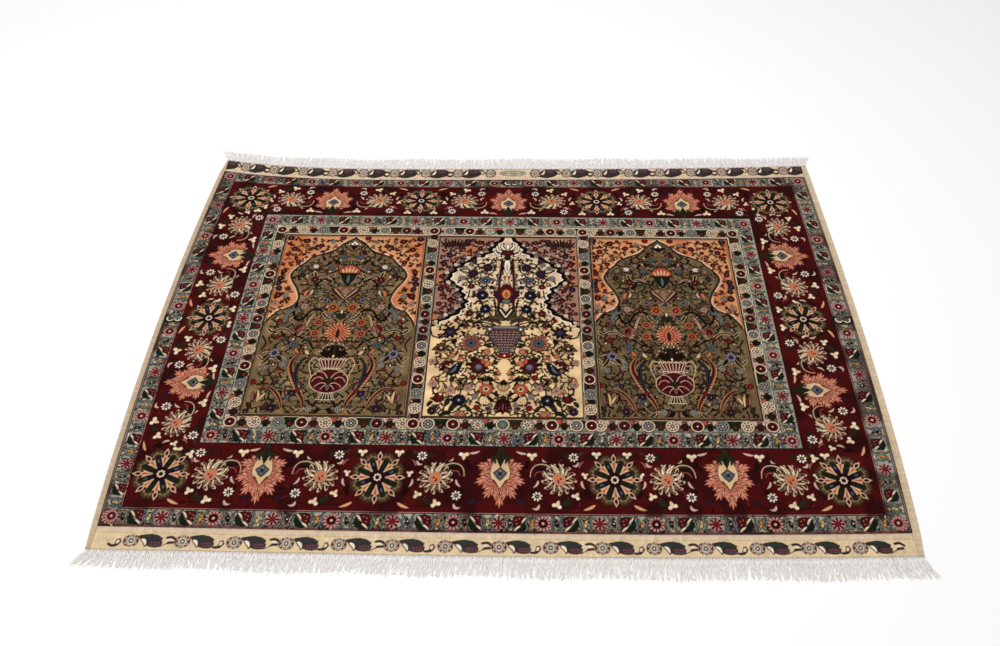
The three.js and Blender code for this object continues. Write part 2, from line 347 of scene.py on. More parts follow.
FLAME_LEAVES = mirrored([
    (0, 30), (8, 40), (18, 35), (25, 38), (26, 31), (34, 26), (44, 24), (38, 16), (42, 8), (35, 3),
    (46, -7), (36, -9), (32, -16), (33, -24), (26, -37), (21, -30), (16, -33), (10, -33), (7, -42),
    (0, -52),
])
FLAME_FRONDS = (
    (14, 30, 28, 43, 5.0), (16, 24, 50, 29, 8.5), (19, 12, 44, 9, 6.5), (18, 3, 53, -9, 8.5),
    (15, -6, 37, -20, 6.5), (11, -10, 33, -41, 9.0), (4, -17, 11, -41, 5.5),
)
FLAME_HEART = mirrored([
    (0, 25), (4, 33), (10, 37), (15, 34), (19, 27), (21, 12), (19, 0), (11, -3), (0, -21),
])
FLAME_CALYX = mirrored([
    (0, 26), (4, 35), (8, 39), (11, 33), (14, 41), (20, 36), (19, 43), (27, 46), (16, 51), (8, 53),
    (6, 69), (0, 70),
])


def frond(place, x0, y0, x1, y1, width):
    """One serrated leaf of a flame palmette: three pairs of short leaflets, and its pointed tip."""
    dx, dy = x1 - x0, y1 - y0
    reach = math.hypot(dx, dy)
    nx, ny = -dy / reach, dx / reach
    for share, yarn in ((0.0, "terracotta"), (0.27, "melon"), (0.52, "terracotta")):
        for side in (-1, 1):
            spread = side * width * (1.25 - 0.9 * share)
            foot = x0 + dx * share, y0 + dy * share
            tip = foot[0] + 0.36 * dx + nx * spread, foot[1] + 0.36 * dy + ny * spread
            place.edged(place.leaf(*foot, *tip, 2.5, side * 1.2), yarn, "maroon", 1.0)
    place.edged(place.leaf(x0, y0, x1, y1, 2.7), "melon", "rust", 1.0)
    place.dye(place.leaf(x0, y0, x0 + 0.7 * dx, y0 + 0.7 * dy, 1.0), "rust")


def border_flame(place):
    """The flame palmette of the main border: serrated orange leaves around a cream heart with a
    dotted slate lozenge, hung from a broad dark green calyx, its tip outwards."""
    place.edged(place.region([(0.74 * x, 0.74 * y) for x, y in FLAME_LEAVES]), "rust", "maroon", 1.0)
    frond(place, 0, -18, 0, -61, 8.5)
    for x0, y0, x1, y1, width in FLAME_FRONDS:
        for side in (-1, 1):
            frond(place, side * x0, y0, side * x1, y1, width)
    place.edged(place.region(FLAME_HEART), "sand", "bark", 1.2)
    for side in (-1, 1):
        place.dye(place.leaf(side * 5, 24, side * 12, 33, 2.2, side * 2), "straw")
        place.dye(place.leaf(side * 17, 5, side * 17, 24, 1.5, -side * 2), "shell")
        place.dye(place.leaf(side * 12, -1, side * 17, 6, 1.3), "fawn")
        place.dye(place.leaf(side * 7, -4, side * 1, -17, 1.3), "straw")
    lozenge = mirrored([(0, 24), (6, 19), (14, 13), (7, 3), (0, -3)])
    place.edged(place.region(lozenge), "slate", "bark", 1.2)
    for x, y in ((-7, 12), (7, 12), (0, 4)):
        place.edged(place.disc(2.2, x, y), "lilac", "navy", 0.8)
    place.edged(place.disc(2.2, 0, 17), "celadon", "navy", 0.8)
    place.dye(place.disc(3.0, 0, 11), "navy")
    place.edged(place.region(FLAME_CALYX), "moss", "black", 1.0)
    place.dye(place.leaf(0, 30, 0, 62, 2.6), "pine")
    place.dye(place.leaf(-6, 33, -10, 43, 1.1), "shell")
    place.dye(place.leaf(6, 33, 10, 43, 1.1), "shell")


def trefoil(x, y, size, turn):
    """Three pale lobes on a short stalk, the small filler of the main border."""
    place = Place(x, y, 14, turn, size, size)
    lobes = np.minimum(place.disc(4.0, -5.5, 2.5), place.disc(4.0, 5.5, 2.5))
    lobes = np.minimum(lobes, place.leaf(0, 4, 0, -10, 3.6))
    place.edged(lobes, "ivory", "plum", 1.2)
    place.dye(place.disc(2.4, -5.5, 3.2), "white")
    place.dye(place.leaf(0, 2, 0, -8, 1.3), "straw")


# What fills the ground beside each lotus, with p towards the rosette and q inwards. Columns: kind, p,
# q, and for leaves the tip, half width and bow, for a trefoil its size and turn, for a daisy its radius.
GROUND_STEMS = (
    ((-46, 52), (-30, 38), (-26, 18), (-38, -2), (-44, -30), (-28, -50)),
    ((60, 58), (46, 40), (36, 46), (22, 44)),
    ((44, 20), (50, -8), (44, -34), (24, -54)),
    ((-40, -52), (-14, -60), (20, -58), (56, -60)),
)
GROUND_LEAVES = (
    (-62, 55, -84, 61, 2.6, 2, "blush"), (38, 38, 26, 30, 2.8, 5, "blush"),
    (-20, 34, -32, 45, 2.4, 3, "blush"), (-40, -2, -50, -18, 2.4, 3, "blush"),
    (44, -2, 50, -20, 2.4, -3, "blush"), (40, 24, 50, 40, 2.2, 3, "rose"),
    (68, -52, 44, -63, 3.0, 2, "peach"), (-38, -52, -52, -60, 2.8, 6, "blush"),
    (8, -50, 18, -38, 1.8, 0, "rose"),
    (8, -56, 24, -44, 6.0, 3, "moss"), (-60, 40, -70, 20, 4.0, 4, "plum"), (60, 46, 84, 50, 4.6, 3, "pine"),
    (26, 48, 10, 58, 5.0, 4, "moss"), (58, -16, 60, -40, 4.0, -5, "plum"),
    (-54, -22, -50, -46, 4.0, 4, "plum"),
    (-66, -50, -80, -40, 3.4, 3, "violet"), (34, 54, 50, 62, 3.6, -3, "umber"),
)
GROUND_TREFOILS = (
    (-52, 50, 1.05, 0), (74, 54, 0.95, 0), (32, -35, 0.9, 150), (-4, -53, 1.0, 160), (50, 9, 0.75, 120),
)
GROUND_DAISIES = ((29, 48, 9.8), (-42, -36, 9.8))


def ground_fillers(x, y, turn, along, across, flip):
    """The small flowers, leaves and stems beside one lotus of the main border."""
    place = Place(x, y, 92, turn, along, across, flip)
    for points in GROUND_STEMS:
        place.dye(place.curve(points, 1.3), "bark")
    for x0, y0, x1, y1, width, bow, yarn in GROUND_LEAVES:
        edge = "plum" if yarn in ("blush", "rose", "peach") else "black"
        place.edged(place.leaf(x0, y0, x1, y1, width, bow), yarn, edge, 0.8)
    c, s = math.cos(math.radians(turn)), math.sin(math.radians(turn))

    def spot(p, q):
        """Where a point of the motif's own axes lies on the chart."""
        p, q = flip * p * along, q * across
        return x + p * c - q * s, y + p * s + q * c

    for p, q, size, lean in GROUND_TREFOILS:
        trefoil(*spot(p, q), size, turn + flip * lean)
    for p, q, radius in GROUND_DAISIES:
        flower("daisy", *spot(p, q), radius, turn)


# Where the motifs of the main border stand along each side, from its start: rosettes in the corners
# and at every fourth place, flames halfway between them and a lotus on both sides of each flame.
# Columns: turn, scale along, scale across, line across, places of the motifs in order.
BORDER_SIDES = (
    (0, 1.0, 1.0, 108.5, (91, 183, 279, 393, 502, 613, 737, 850, 957, 1058, 1176, 1295, 1394)),
    (180, 1.0, 0.88, 900, (95, 195, 300, 413, 518, 626, 736, 845, 956, 1063, 1170, 1280, 1392)),
    (270, 0.96, 0.80, 92, (108.5, 224, 325, 411, 500, 598, 695, 797, 900)),
    (90, 0.96, 0.86, 1394, (108.5, 228, 320, 417, 513, 611, 710, 808, 900)),
)
# The crimson ground is full of dark vines and shades of older and newer dye.
rng = np.random.default_rng(19)
for number in range(1500):
    x, y = rng.uniform(40, 1455), rng.uniform(42, 958)
    near_or_far = y < 176 or y > 841
    if near_or_far or x < 142 or x > 1335:
        place = Place(x, y, 16, rng.uniform(0, 360))
        reach = rng.uniform(4, 12)
        twig = [(-reach, 0), (-0.3 * reach, 0.3 * reach), (0.4 * reach, 0.2 * reach), (reach, -0.3 * reach)]
        place.dye(place.curve(twig, rng.uniform(0.6, 1.6), 0.4),
                  ("plum", "claret", "maroon", "bark", "plum", "red", "claret")[number % 7])
for turn, along, across, line, places in BORDER_SIDES:
    backwards = -1 if turn in (180, 270) else 1
    for i, at in enumerate(places):
        x, y = (line, at) if turn in (90, 270) else (at, line)
        if i % 2 == 1:
            rosette_first = i % 4 == 1
            ground_fillers(x, y, turn, along, across, backwards * (-1 if rosette_first else 1))
for turn, along, across, line, places in BORDER_SIDES:
    backwards = -1 if turn in (180, 270) else 1
    for i, at in enumerate(places):
        x, y = (line, at) if turn in (90, 270) else (at, line)
        if i % 2 == 1:
            rosette_first = i % 4 == 1
            towards_flame = backwards * (1 if rosette_first else -1)
            border_lotus(Place(x, y, 56, turn, along, across, towards_flame))
        elif i % 4 == 2:
            border_flame(Place(x, y, 74, turn, along * 0.90, across, 1))
        elif turn in (0, 180) or 0 < i < len(places) - 1:
            border_rosette(Place(x, y, 62, turn, along * 1.08, across * 1.15, 1))


def guard_tulip(x, y, size, flip):
    """The leaning tulip of the guards: a maroon cup and a green leaf between two pale blades."""
    place = Place(x, y, 22, 0, size, size, flip)
    cup = [(-9, 13), (3, 14), (13, 12), (15, 2), (12, -8), (6, -7), (-2, 3)]
    leaf = [(-12, 10), (-14, -4), (-9, -13), (6, -15), (1, -8), (-6, 0)]
    place.edged(place.region(leaf), "pine", "black", 0.8)
    place.edged(place.region(cup), "maroon", "black", 1.0)
    for p, q in ((3, 9), (9, 6), (8, -1)):
        place.dye(place.disc(1.1, p, q), "pink")
    place.edged(place.leaf(-12, 13, -1, -1, 1.9, 1), "ivory", "black", 0.8)
    place.edged(place.leaf(0, -5, 13, -16, 2.0, 1), "ivory", "black", 0.8)


def guard_star(x, y, size):
    """The pointed pink star of the guards."""
    place = Place(x, y, 20, 0, size, size)
    place.edged(place.petals(8, 3, 15.0, 2.6, 0, 0.8, 0.9), "maroon", "pink", 1.2)
    place.dye(place.petals(8, 5, 12, 1.3, 22.5, 1.0, 0.9), "pink")
    place.edged(place.disc(4.4), "red", "maroon", 0.9)


def guard_floret(x, y, size, kind, turn):
    """The small budded sprig between the larger flowers of the guards, in a frame of pale hooks."""
    place = Place(x, y, 19, turn, size, size, 1 if kind % 2 else -1)
    for side in (-1, 1):
        hook = [(side * 11, -15), (side * 8, -8), (side * 11, 0), (side * 8, 8), (side * 11, 15)]
        place.dye(place.curve(hook, 2.3), "pine" if kind % 2 else "line")
        place.dye(place.curve(hook, 1.0), ("grey", "lilac", "sage")[kind % 3])
    for p, q, tip_p, tip_q in ((-2, -2, -7, 9), (2, 1, 7, 10), (-2, -3, -6, -12), (3, -4, 7, -11)):
        place.edged(place.leaf(p, q, tip_p, tip_q, 2.2, 1.5), ("sage", "sea", "grey")[kind % 3], "pine", 0.8)
    place.edged(place.leaf(-1, -7, 2, 8, 2.9), ("plum", "straw", "violet", "amber")[kind % 4], "bark", 0.9)
    place.dye(place.leaf(-4, 11, 4, 13, 1.2), ("maroon", "straw", "coral")[kind % 3])
    place.dye(place.leaf(-5, -13, 3, -12, 1.2), ("coral", "maroon", "straw")[kind % 3])
    place.dye(place.disc(1.4, 0, 1), ("pink", "maroon", "white", "navy")[kind % 4])


def twin_floret(x, y, size):
    """The pair of pale hooks in dark green that marks the middle of a guard."""
    for flip in (-1, 1):
        place = Place(x, y, 26, 0, size, size, flip)
        place.dye(place.curve([(0, -8), (10, -12), (20, -6), (22, 6), (14, 10)], 3.4), "pine")
        place.dye(place.curve([(3, -5), (10, -8), (16, -3), (16, 4)], 1.3), "white")


# The runs of the guards, each from a corner rosette to the next corner. Rosette, tulip, star and tulip
# follow each other from both corners to the middle. Columns: whether it runs up the rug, line across,
# size, mirror of its first half, small leaves to each millimetre, and the places of some motifs, read
# off.
GUARD_RUNS = (
    (False, 18, 1.0, 1, 1.0,
     {0: 19, 4: 210, 8: 428, 12: 653, 14: 737, 16: 819, 20: 1029, 24: 1249, 28: 1480}),
    (False, 197, 0.95, 1, 2.8, {0: 163, 4: 388, 8: 630, 10: 742, 12: 851, 16: 1079, 20: 1313}),
    (False, 981, 0.94, -1, 0.8,
     {0: 20, 4: 233, 8: 460, 12: 699, 13: 742, 14: 788, 18: 1015, 22: 1240, 26: 1480}),
    (False, 818.5, 0.94, -1, 1.0, {0: 165, 4: 393, 8: 628, 10: 741, 12: 855, 16: 1083, 20: 1314}),
    (True, 22, 0.86, 1, 0.9, {0: 19, 8: 461, 9: 498, 10: 535, 18: 980}),
    (True, 1477, 0.90, -1, 0.4, {0: 19, 8: 474, 9: 512, 10: 551, 18: 980}),
    (True, 163, 0.86, 1, 1.3, {0: 197, 4: 402, 6: 500, 8: 601, 12: 818}),
    (True, 1313, 0.86, -1, 1.0, {0: 197, 4: 411, 6: 512, 8: 611, 12: 818}),
)
rng = np.random.default_rng(23)
for upwards, line, size, lean, leaves, anchors in GUARD_RUNS:
    low, high = min(anchors.values()), max(anchors.values())
    for number in range(int((high - low) * leaves)):
        at, off = rng.uniform(low - 8, high + 8), rng.uniform(-15, 15) * size
        x, y = (line + off, at) if upwards else (at, line + off)
        place = Place(x, y, 6, rng.uniform(0, 180))
        place.dye(place.leaf(-3.5, 0, 3.5, 0, 1.1, 1.5),
                  ("black", "pine", "bark", "ivory", "black", "sea", "black", "line", "plum")[number % 9])
    last = max(anchors)
    places = np.interp(np.arange(2 * last + 1) / 2, list(anchors), list(anchors.values()))
    for half_step, at in enumerate(places):
        x, y = (line, at) if upwards else (at, line)
        number = half_step // 2
        rank = min(number, last - number)
        if half_step % 2 == 1:
            guard_floret(x, y, size, half_step // 2 + (1 if upwards else 0), 90 if upwards else 0)
        elif 2 * number == last and rank % 2 == 1:
            twin_floret(x, y, size)
        elif rank % 4 == 0:
            corner = rank == 0 or upwards
            flower("corner_rosette" if corner else "guard_rosette", x, y, 15.5 * size)
        elif rank % 4 == 2:
            guard_star(x, y, size)
        else:
            guard_tulip(x, y, size, lean if 2 * number < last else -lean)

# The thin border and the two strips that part the niches: rounds in pale rings on a dark ground, with
# coral and green wedges between them. Columns: whether it runs up the rug, line across, half width,
# and the places of some rounds by their number, read off.
PARTINGS = (545.5, 571.5), (904.5, 930.5)
for x0, x1 in PARTINGS:
    fill(x0 - 2.4, NEAR_BANDS["field"], x1 + 2.4, FAR_BANDS["field"], "line")
    fill(x0 - 1.2, NEAR_BANDS["field"], x1 + 1.2, FAR_BANDS["field"], "grey")
    fill(x0, NEAR_BANDS["field"] - 4, x1, FAR_BANDS["field"] + 4, "ivory")
ROUND_RUNS = (
    (False, 229.5, 12.5, {0: 192, 4: 383, 8: 589, 11: 739, 14: 887, 18: 1080, 22: 1282}),
    (False, 783, 12.5, {0: 195, 4: 388, 8: 596, 11: 742, 14: 888, 18: 1082, 22: 1281}),
    (True, 192.5, 11.5, {0: 229.5, 3: 370, 6: 499, 9: 635, 12: 783}),
    (True, 1281, 12.0, {0: 229.5, 3: 374, 6: 513, 9: 650, 12: 783}),
    (True, 558.5, 12.0, {0: 229.5, 3: 340, 6: 472, 9: 608, 12: 740, 13: 783}),
    (True, 917.5, 12.0, {0: 229.5, 3: 343, 6: 476, 9: 612, 12: 742, 13: 783}),
)
ROUND_KINDS = "round_maroon", "round_white", "round_blue"
for upwards, line, half, anchors in ROUND_RUNS:
    last = max(anchors)
    places = np.interp(np.arange(last + 1), list(anchors), list(anchors.values()))
    for number, (at, following) in enumerate(zip(places, list(places[1:]) + [None])):
        if following is None:
            continue
        middle, gap = (at + following) / 2, (following - at) / 2
        x, y = (line, middle) if upwards else (middle, line)
        place = Place(x, y, 24, 90 if upwards else 0, 1, 1)
        block = np.maximum(np.abs(place.p) - gap + 7, np.abs(place.q) - half)
        place.dye(block, "moss" if number % 2 else "pine")
        for side in (-1, 1):
            if number % 3 != 2:
                wedge = [(side * (gap - 8), half), (side * 2, half), (side * 8, 1)]
                place.edged(place.region(wedge), "blush" if (number + side) % 3 else "coral", "bark", 0.8)
                place.dye(place.leaf(side * 3, half - 2, side * 8, half - 4, 1.1), "maroon")
            wedge = [(side * (gap - 8), -half), (side * 3, -half), (side * 8, -4)]
            place.edged(place.region(wedge), ("mauve", "celadon", "sage")[number % 3], "bark", 0.8)
        place.edged(place.disc(3.4, 0, -3, 1.3), ("maroon", "bark", "red")[number % 3], "black", 0.8)
        place.dye(place.leaf(-3, 6, 3, 9, 1.4, 1), ("sage", "straw", "umber")[number % 3])
    for number, at in enumerate(places):
        x, y = (line, at) if upwards else (at, line)
        place = Place(x, y, 20)
        rank = min(number, last - number)
        place.edged(place.disc(half + 1.0), "celadon" if rank % 4 == 2 else "ivory", "bark", 0.9)
        place.dye(place.disc(half - 1.4), ("black", "brown", "pine")[rank % 3])
        middle_round = 2 * number == last and not upwards
        flower("round_green" if middle_round else ROUND_KINDS[rank % 3], x, y, half - 2.0)


# Inside the three niches everything is drawn twice, mirrored about the niche's axis. Places in the
# tables below are p, the distance from the axis, and q, the height on the chart, read off. The
# small stems and leaves between them are strewn by seeded draws.
def leaves(axis, table):
    """Ties leaves given as p and q of foot and tip, half width, bow, yarn and yarn of the edge."""
    for p0, q0, p1, q1, width, bow, yarn, edge in table:
        p, q = (p0 + p1) / 2, (q0 + q1) / 2
        reach = math.hypot(p1 - p0, q1 - q0) / 2 + abs(bow) + width + 4
        for flip in (-1, 1):
            place = Place(axis + flip * p, q, reach, flip=flip)
            place.edged(place.leaf(p0 - p, q0 - q, p1 - p, q1 - q, width, bow), yarn, edge, 1.0)


def stems(axis, table):
    """Ties scrolls given as points, half width, yarn, yarn of the edge or None, and taper."""
    for points, width, yarn, edge, taper in table:
        ps, qs = [point[0] for point in points], [point[1] for point in points]
        p, q = (min(ps) + max(ps)) / 2, (min(qs) + max(qs)) / 2
        reach = max(max(ps) - min(ps), max(qs) - min(qs)) / 2 + width + 8
        for flip in (-1, 1):
            place = Place(axis + flip * p, q, reach, flip=flip)
            depth = place.curve([(x - p, y - q) for x, y in points], width, taper)
            if edge:
                place.dye(depth - 1.3, edge)
            place.dye(depth, yarn)


def blooms(axis, table):
    """Ties flowers given as kind, p, q and radius; one whose p is nought stands alone."""
    for kind, p, q, radius in table:
        for flip in (-1, 1) if p else (1,):
            flower(kind, axis + flip * p, q, radius)


def arabesques(axis, seed, spacing, low, high, reach, size, yarns, pale, buds):
    """Fills a niche with small curled stems, edged in a pale yarn or none, with leaves and a bud each.

    They stand on a loose grid, in a new turn and curl for each, and mirrored about the axis. reach
    gives the least and most p that they take at a height.
    """
    rng = np.random.default_rng(seed)
    angle = np.linspace(0, 4.4, 8)
    for q0 in np.arange(low, high, spacing):
        least, most = reach(q0)
        for p0 in np.arange(least + rng.uniform(0, 0.6) * spacing, most, spacing):
            p, q = p0 + rng.uniform(-3, 3), q0 + rng.uniform(-0.4, 0.4) * spacing
            turn, curl = rng.uniform(0, 360), rng.choice((-1, 1))
            run = size * rng.uniform(0.7, 1.25) * (1 - 0.72 * angle / 4.4)
            xs, ys = run * np.cos(angle) - 0.3 * size, curl * run * np.sin(angle)
            kind = rng.integers(100)
            for flip in (-1, 1):
                place = Place(axis + flip * p, q, 2.1 * size, flip * turn, flip=flip)
                stem = place.stroke(list(zip(xs, ys)), list(np.linspace(1.9, 1.0, 8)))
                for step, bend in ((0, 1), (1, -1), (3, 1), (5, -1)):
                    tip = (xs[step] * 1.35 + bend * 2.5, ys[step] * 1.35 + bend * curl * 3.5)
                    stem = np.minimum(stem, place.leaf(xs[step], ys[step], *tip, 1.9, bend))
                if pale:
                    place.dye(stem - 0.9, pale[kind % len(pale)])
                place.dye(stem, yarns[kind % len(yarns)])
                if kind % 3:
                    place.edged(place.disc(2.3, xs[-1], ys[-1]), buds[kind % len(buds)], "bark", 0.7)


def flecks(axis, seed, count, low, high, reach, yarns):
    """Strews so many short leaves over a niche, mirrored about its axis, over the same p and q as the
    arabesques."""
    rng = np.random.default_rng(seed)
    for number in range(count):
        q = rng.uniform(low, high)
        p = rng.uniform(*reach(q))
        turn, half, bow = rng.uniform(0, 180), rng.uniform(1.4, 3.6), rng.uniform(-1.6, 1.6)
        for flip in (-1, 1):
            place = Place(axis + flip * p, q, 6, flip * turn, flip=flip)
            place.dye(place.leaf(-half, 0, half, 0, 0.9, bow), yarns[number % len(yarns)])


def feather(axis, points, layers, barbs):
    """Ties a long curved leaf through points of p and q, in layers of half width and yarn, widest
    first, each of them thin at both ends, with slanting barbs over them."""
    ps, qs = [point[0] for point in points], [point[1] for point in points]
    p, q = (min(ps) + max(ps)) / 2, (min(qs) + max(qs)) / 2
    reach = max(max(ps) - min(ps), max(qs) - min(qs)) / 2 + 12
    path = smooth([(x - p, y - q) for x, y in points], 5)
    swell = np.sin(np.pi * np.linspace(0.04, 0.96, len(path))) ** 0.6
    half = layers[0][0] - 0.8
    for flip in (-1, 1):
        place = Place(axis + flip * p, q, reach, flip=flip)
        for width, aside, yarn in layers:
            place.dye(place.stroke([(x + aside, y) for x, y in path], list(width * swell - 0.5)), yarn)
        for (x0, y0), (x, y), (x1, y1), wide in zip(path, path[1:], path[2:], half * swell[1:]):
            dx, dy = (x1 - x0) / math.hypot(x1 - x0, y1 - y0), (y1 - y0) / math.hypot(x1 - x0, y1 - y0)
            for side in (-1, 1):
                tip = x + wide * (0.9 * dx - side * dy), y + wide * (0.9 * dy + side * dx)
                place.dye(place.stroke([(x, y), tip], [0.9, 0.4]), barbs)


def niche_depth(axis, outline, x0, x1, y0, y1):
    """Distance outwards from the niche's edge over a rectangle of the chart.

    The outline gives the niche's half width at some heights. The distance is the difference in p,
    shortened where the edge runs aslant.
    """
    path = smooth(outline, 10)
    heights = np.array([point[0] for point in path])
    widths = np.array([point[1] for point in path])
    order = np.argsort(heights)
    q = np.arange(int(y0 / KNOT), int(y1 / KNOT)) * KNOT + 0.5
    half = np.interp(q, heights[order], widths[order])
    slope = np.gradient(half, q)
    p = np.abs(np.arange(int(x0 / KNOT), int(x1 / KNOT)) * KNOT + 0.5 - axis)
    return (p[None, :] - half[:, None]) / np.sqrt(1 + np.minimum(slope, 3)[:, None] ** 2)


def panel_knots(x0, x1, y0, y1):
    """The knots of a rectangle of the chart."""
    return chart[int(y0 / KNOT):int(y1 / KNOT), int(x0 / KNOT):int(x1 / KNOT)]


def blend(knots, share, yarn):
    """Ties a yarn over a share of each knot."""
    knots += (YARN[yarn] - knots) * np.clip(share, 0, 1)[..., None]


def beads(knots, depth, at, spacing, yarn):
    """A dotted line that follows the niche's edge at some distance outside it."""
    rows, columns = np.indices(depth.shape)
    dots = np.cos(2 * np.pi * (rows + 0.6 * np.abs(columns - depth.shape[1] / 2)) * KNOT / spacing)
    blend(knots, (1.6 - np.abs(depth - at)) * (0.55 + 0.45 * np.sign(dots)), yarn)


SIDE_OUTLINE = (
    (470, 172), (488, 165), (500, 160), (512, 152), (524, 143), (530, 130), (540, 115), (555, 106),
    (570, 107), (590, 115), (610, 127), (628, 135), (640, 134), (655, 126), (672, 110), (690, 96),
    (703, 72), (715, 47), (738, 27), (757, 3), (770, 0),
)
SIDE_SPANDREL = (
    ("spandrel_rose", 115, 744, 8.5), ("spandrel_rose", 78, 729, 7), ("spandrel_rose", 140, 717, 7.5),
    ("spandrel_rose", 97, 752, 5), ("red_bud", 30, 755, 8), ("spandrel_rose", 103, 716, 5),
    ("spandrel_rose", 152, 699, 6), ("spandrel_rose", 124, 676, 6.5), ("red_bud", 138, 664, 4),
    ("spandrel_rose", 152, 645, 6.5), ("violet_flower", 155, 622, 8), ("violet_flower", 157, 607, 8),
    ("violet_flower", 153, 592, 7), ("red_bud", 132, 594, 4), ("spandrel_rose", 151, 570, 8.5),
    ("red_bud", 131, 556, 4.5), ("violet_flower", 155, 754, 9), ("grey_flower", 52, 742, 6),
    ("grey_flower", 134, 570, 7), ("pale_bloom", 152, 545, 7), ("red_bud", 62, 716, 4),
    ("red_bud", 90, 698, 4), ("red_bud", 108, 690, 4), ("red_bud", 146, 730, 4), ("red_bud", 156, 668, 4),
)
SIDE_STEMS = (
    (((68, 692), (62, 678), (50, 670), (37, 668)), 2.2, "black", None, 0.2),
    (((45, 712), (52, 700), (48, 690)), 1.8, "bark", None, 0.3),
    (((78, 640), (72, 622), (58, 618), (44, 624), (34, 636)), 2.6, "black", "sand", 0.2),
    (((72, 600), (64, 612), (52, 620), (40, 614), (32, 622)), 2.8, "black", None, 0.3),
    (((106, 600), (96, 602), (84, 600)), 2.0, "bark", None, 0.3),
    (((118, 640), (112, 655), (100, 664), (88, 660)), 2.0, "bark", "grey", 0.3),
    (((100, 575), (92, 588), (84, 594)), 2.0, "dusk", None, 0.3),
    (((86, 556), (74, 552), (62, 556), (56, 566)), 2.0, "dusk", None, 0.3),
    (((118, 530), (108, 538), (96, 534), (90, 520)), 2.2, "bark", "grey", 0.3),
    (((103, 545), (106, 520), (98, 498), (84, 500), (76, 514), (66, 526), (50, 528), (40, 516)), 2.9,
     "black", None, 0.15),
    (((40, 516), (34, 506), (24, 500)), 2.6, "black", "sand", 0.2),
    (((60, 512), (70, 490), (76, 468), (86, 452)), 2.3, "bark", "sand", 0.2),
    (((152, 470), (142, 462), (128, 470), (112, 468), (98, 456)), 2.2, "black", "sand", 0.2),
    (((98, 456), (80, 448), (64, 438), (52, 430)), 2.4, "black", None, 0.4),
    (((160, 450), (150, 430), (156, 412)), 2.0, "bark", None, 0.3),
    (((120, 452), (132, 442), (142, 452), (136, 462)), 2.2, "bark", None, 0.3),
    (((158, 395), (146, 384), (130, 392), (118, 384)), 1.8, "bark", "sand", 0.3),
    (((150, 350), (138, 342), (124, 350), (112, 366), (116, 384)), 1.6, "bark", None, 0.3),
    (((120, 340), (112, 320), (118, 300), (112, 280)), 1.6, "bark", None, 0.2),
    (((160, 330), (146, 322), (136, 330)), 1.6, "bark", None, 0.2),
    (((32, 592), (27, 580), (14, 568), (2, 556)), 1.8, "black", "rose", 0.1),
    (((0, 556), (10, 546), (16, 534)), 1.8, "bark", "sand", 0.1),
    (((54, 470), (40, 440), (26, 418)), 1.8, "dusk", None, 0.3),
    (((60, 262), (76, 268), (92, 262), (104, 252)), 1.6, "bark", None, 0.3),
    (((8, 258), (16, 268), (26, 266)), 1.6, "black", None, 0.3),
    (((46, 274), (40, 262), (52, 254)), 1.6, "sand", None, 0.2),
)
SIDE_LEAVES = (
    (24, 714, 30, 698, 4.0, 1, "pine", "black"), (30, 712, 22, 700, 3.0, 1, "maroon", "bark"),
    (36, 680, 26, 672, 4.0, 2, "bark", "black"), (47, 676, 54, 662, 3.6, 2, "bark", "black"),
    (84, 586, 90, 566, 3.6, 3, "apricot", "bark"), (76, 588, 82, 570, 2.6, -2, "blush", "bark"),
    (84, 480, 94, 464, 5.0, 3, "maroon", "coral"), (76, 482, 84, 464, 4.0, -2, "rose", "bark"),
    (88, 524, 98, 500, 4.0, -3, "drab", "bark"), (104, 508, 112, 490, 3.0, 2, "tan", "bark"),
    (128, 404, 146, 380, 5.0, 3, "bark", "moss"), (120, 402, 104, 382, 4.4, 3, "bark", "sand"),
    (134, 400, 152, 372, 3.6, -3, "moss", "sand"), (112, 398, 96, 380, 3.4, -2, "sage", "bark"),
    (84, 418, 74, 404, 3.2, 2, "apricot", "bark"), (60, 412, 52, 402, 3.4, 2, "sand", "brown"),
    (138, 276, 142, 310, 2.6, 2, "straw", "maroon"), (146, 280, 150, 304, 2.2, -2, "rose", "bark"),
    (124, 300, 134, 280, 2.4, 2, "sand", "bark"), (150, 260, 158, 276, 4.0, 2, "moss", "black"),
    (126, 262, 118, 278, 4.0, 2, "umber", "black"), (20, 252, 34, 262, 4.5, 2, "umber", "black"),
    (46, 262, 64, 250, 3.4, -2, "umber", "sand"), (8, 262, 16, 250, 4.0, 2, "bark", "black"),
)
SIDE_FEATHERS = (
    (((42, 264), (46, 282), (60, 308), (77, 342), (86, 368), (83, 388), (70, 406)),
     ((8.4, 0, "black"), (7.2, 0, "sand"), (5.6, 0, "apricot"), (3.4, -0.8, "maroon")), "bark"),
    (((56, 296), (66, 324), (72, 350), (70, 374), (58, 394)),
     ((5.2, 0, "black"), (3.8, 0, "slate"), (2.2, 0, "navy")), "black"),
    (((86, 262), (92, 282), (104, 301), (118, 313), (136, 316)),
     ((6.6, 0, "black"), (5.4, 0, "sand"), (4.0, 0, "apricot"), (2.2, 0, "maroon")), "bark"),
    (((150, 268), (146, 286), (140, 300), (128, 312)), ((4.4, 0, "bark"), (3.0, 0, "rose")), "bark"),
    (((30, 262), (46, 258), (62, 266), (70, 282)), ((3.6, 0, "black"), (2.6, 0, "sand")), "bark"),
    (((158, 400), (140, 408), (122, 396), (112, 378)), ((4.6, 0, "black"), (3.2, 0, "sand")), "bark"),
    (((86, 452), (74, 476), (66, 502), (56, 520)), ((5.2, 0, "bark"), (3.6, 0, "sand")), "maroon"),
    (((30, 662), (48, 672), (66, 668), (84, 652)), ((4.6, 0, "black"), (3.2, 0, "tan")), "maroon"),
    (((34, 616), (52, 628), (70, 620), (84, 604)), ((5.0, 0, "black"), (3.6, 0, "blush")), "bark"),
    (((100, 528), (112, 524), (120, 510), (118, 494)), ((6.6, 0, "bark"), (5.0, 0, "grey")), "slate"),
)
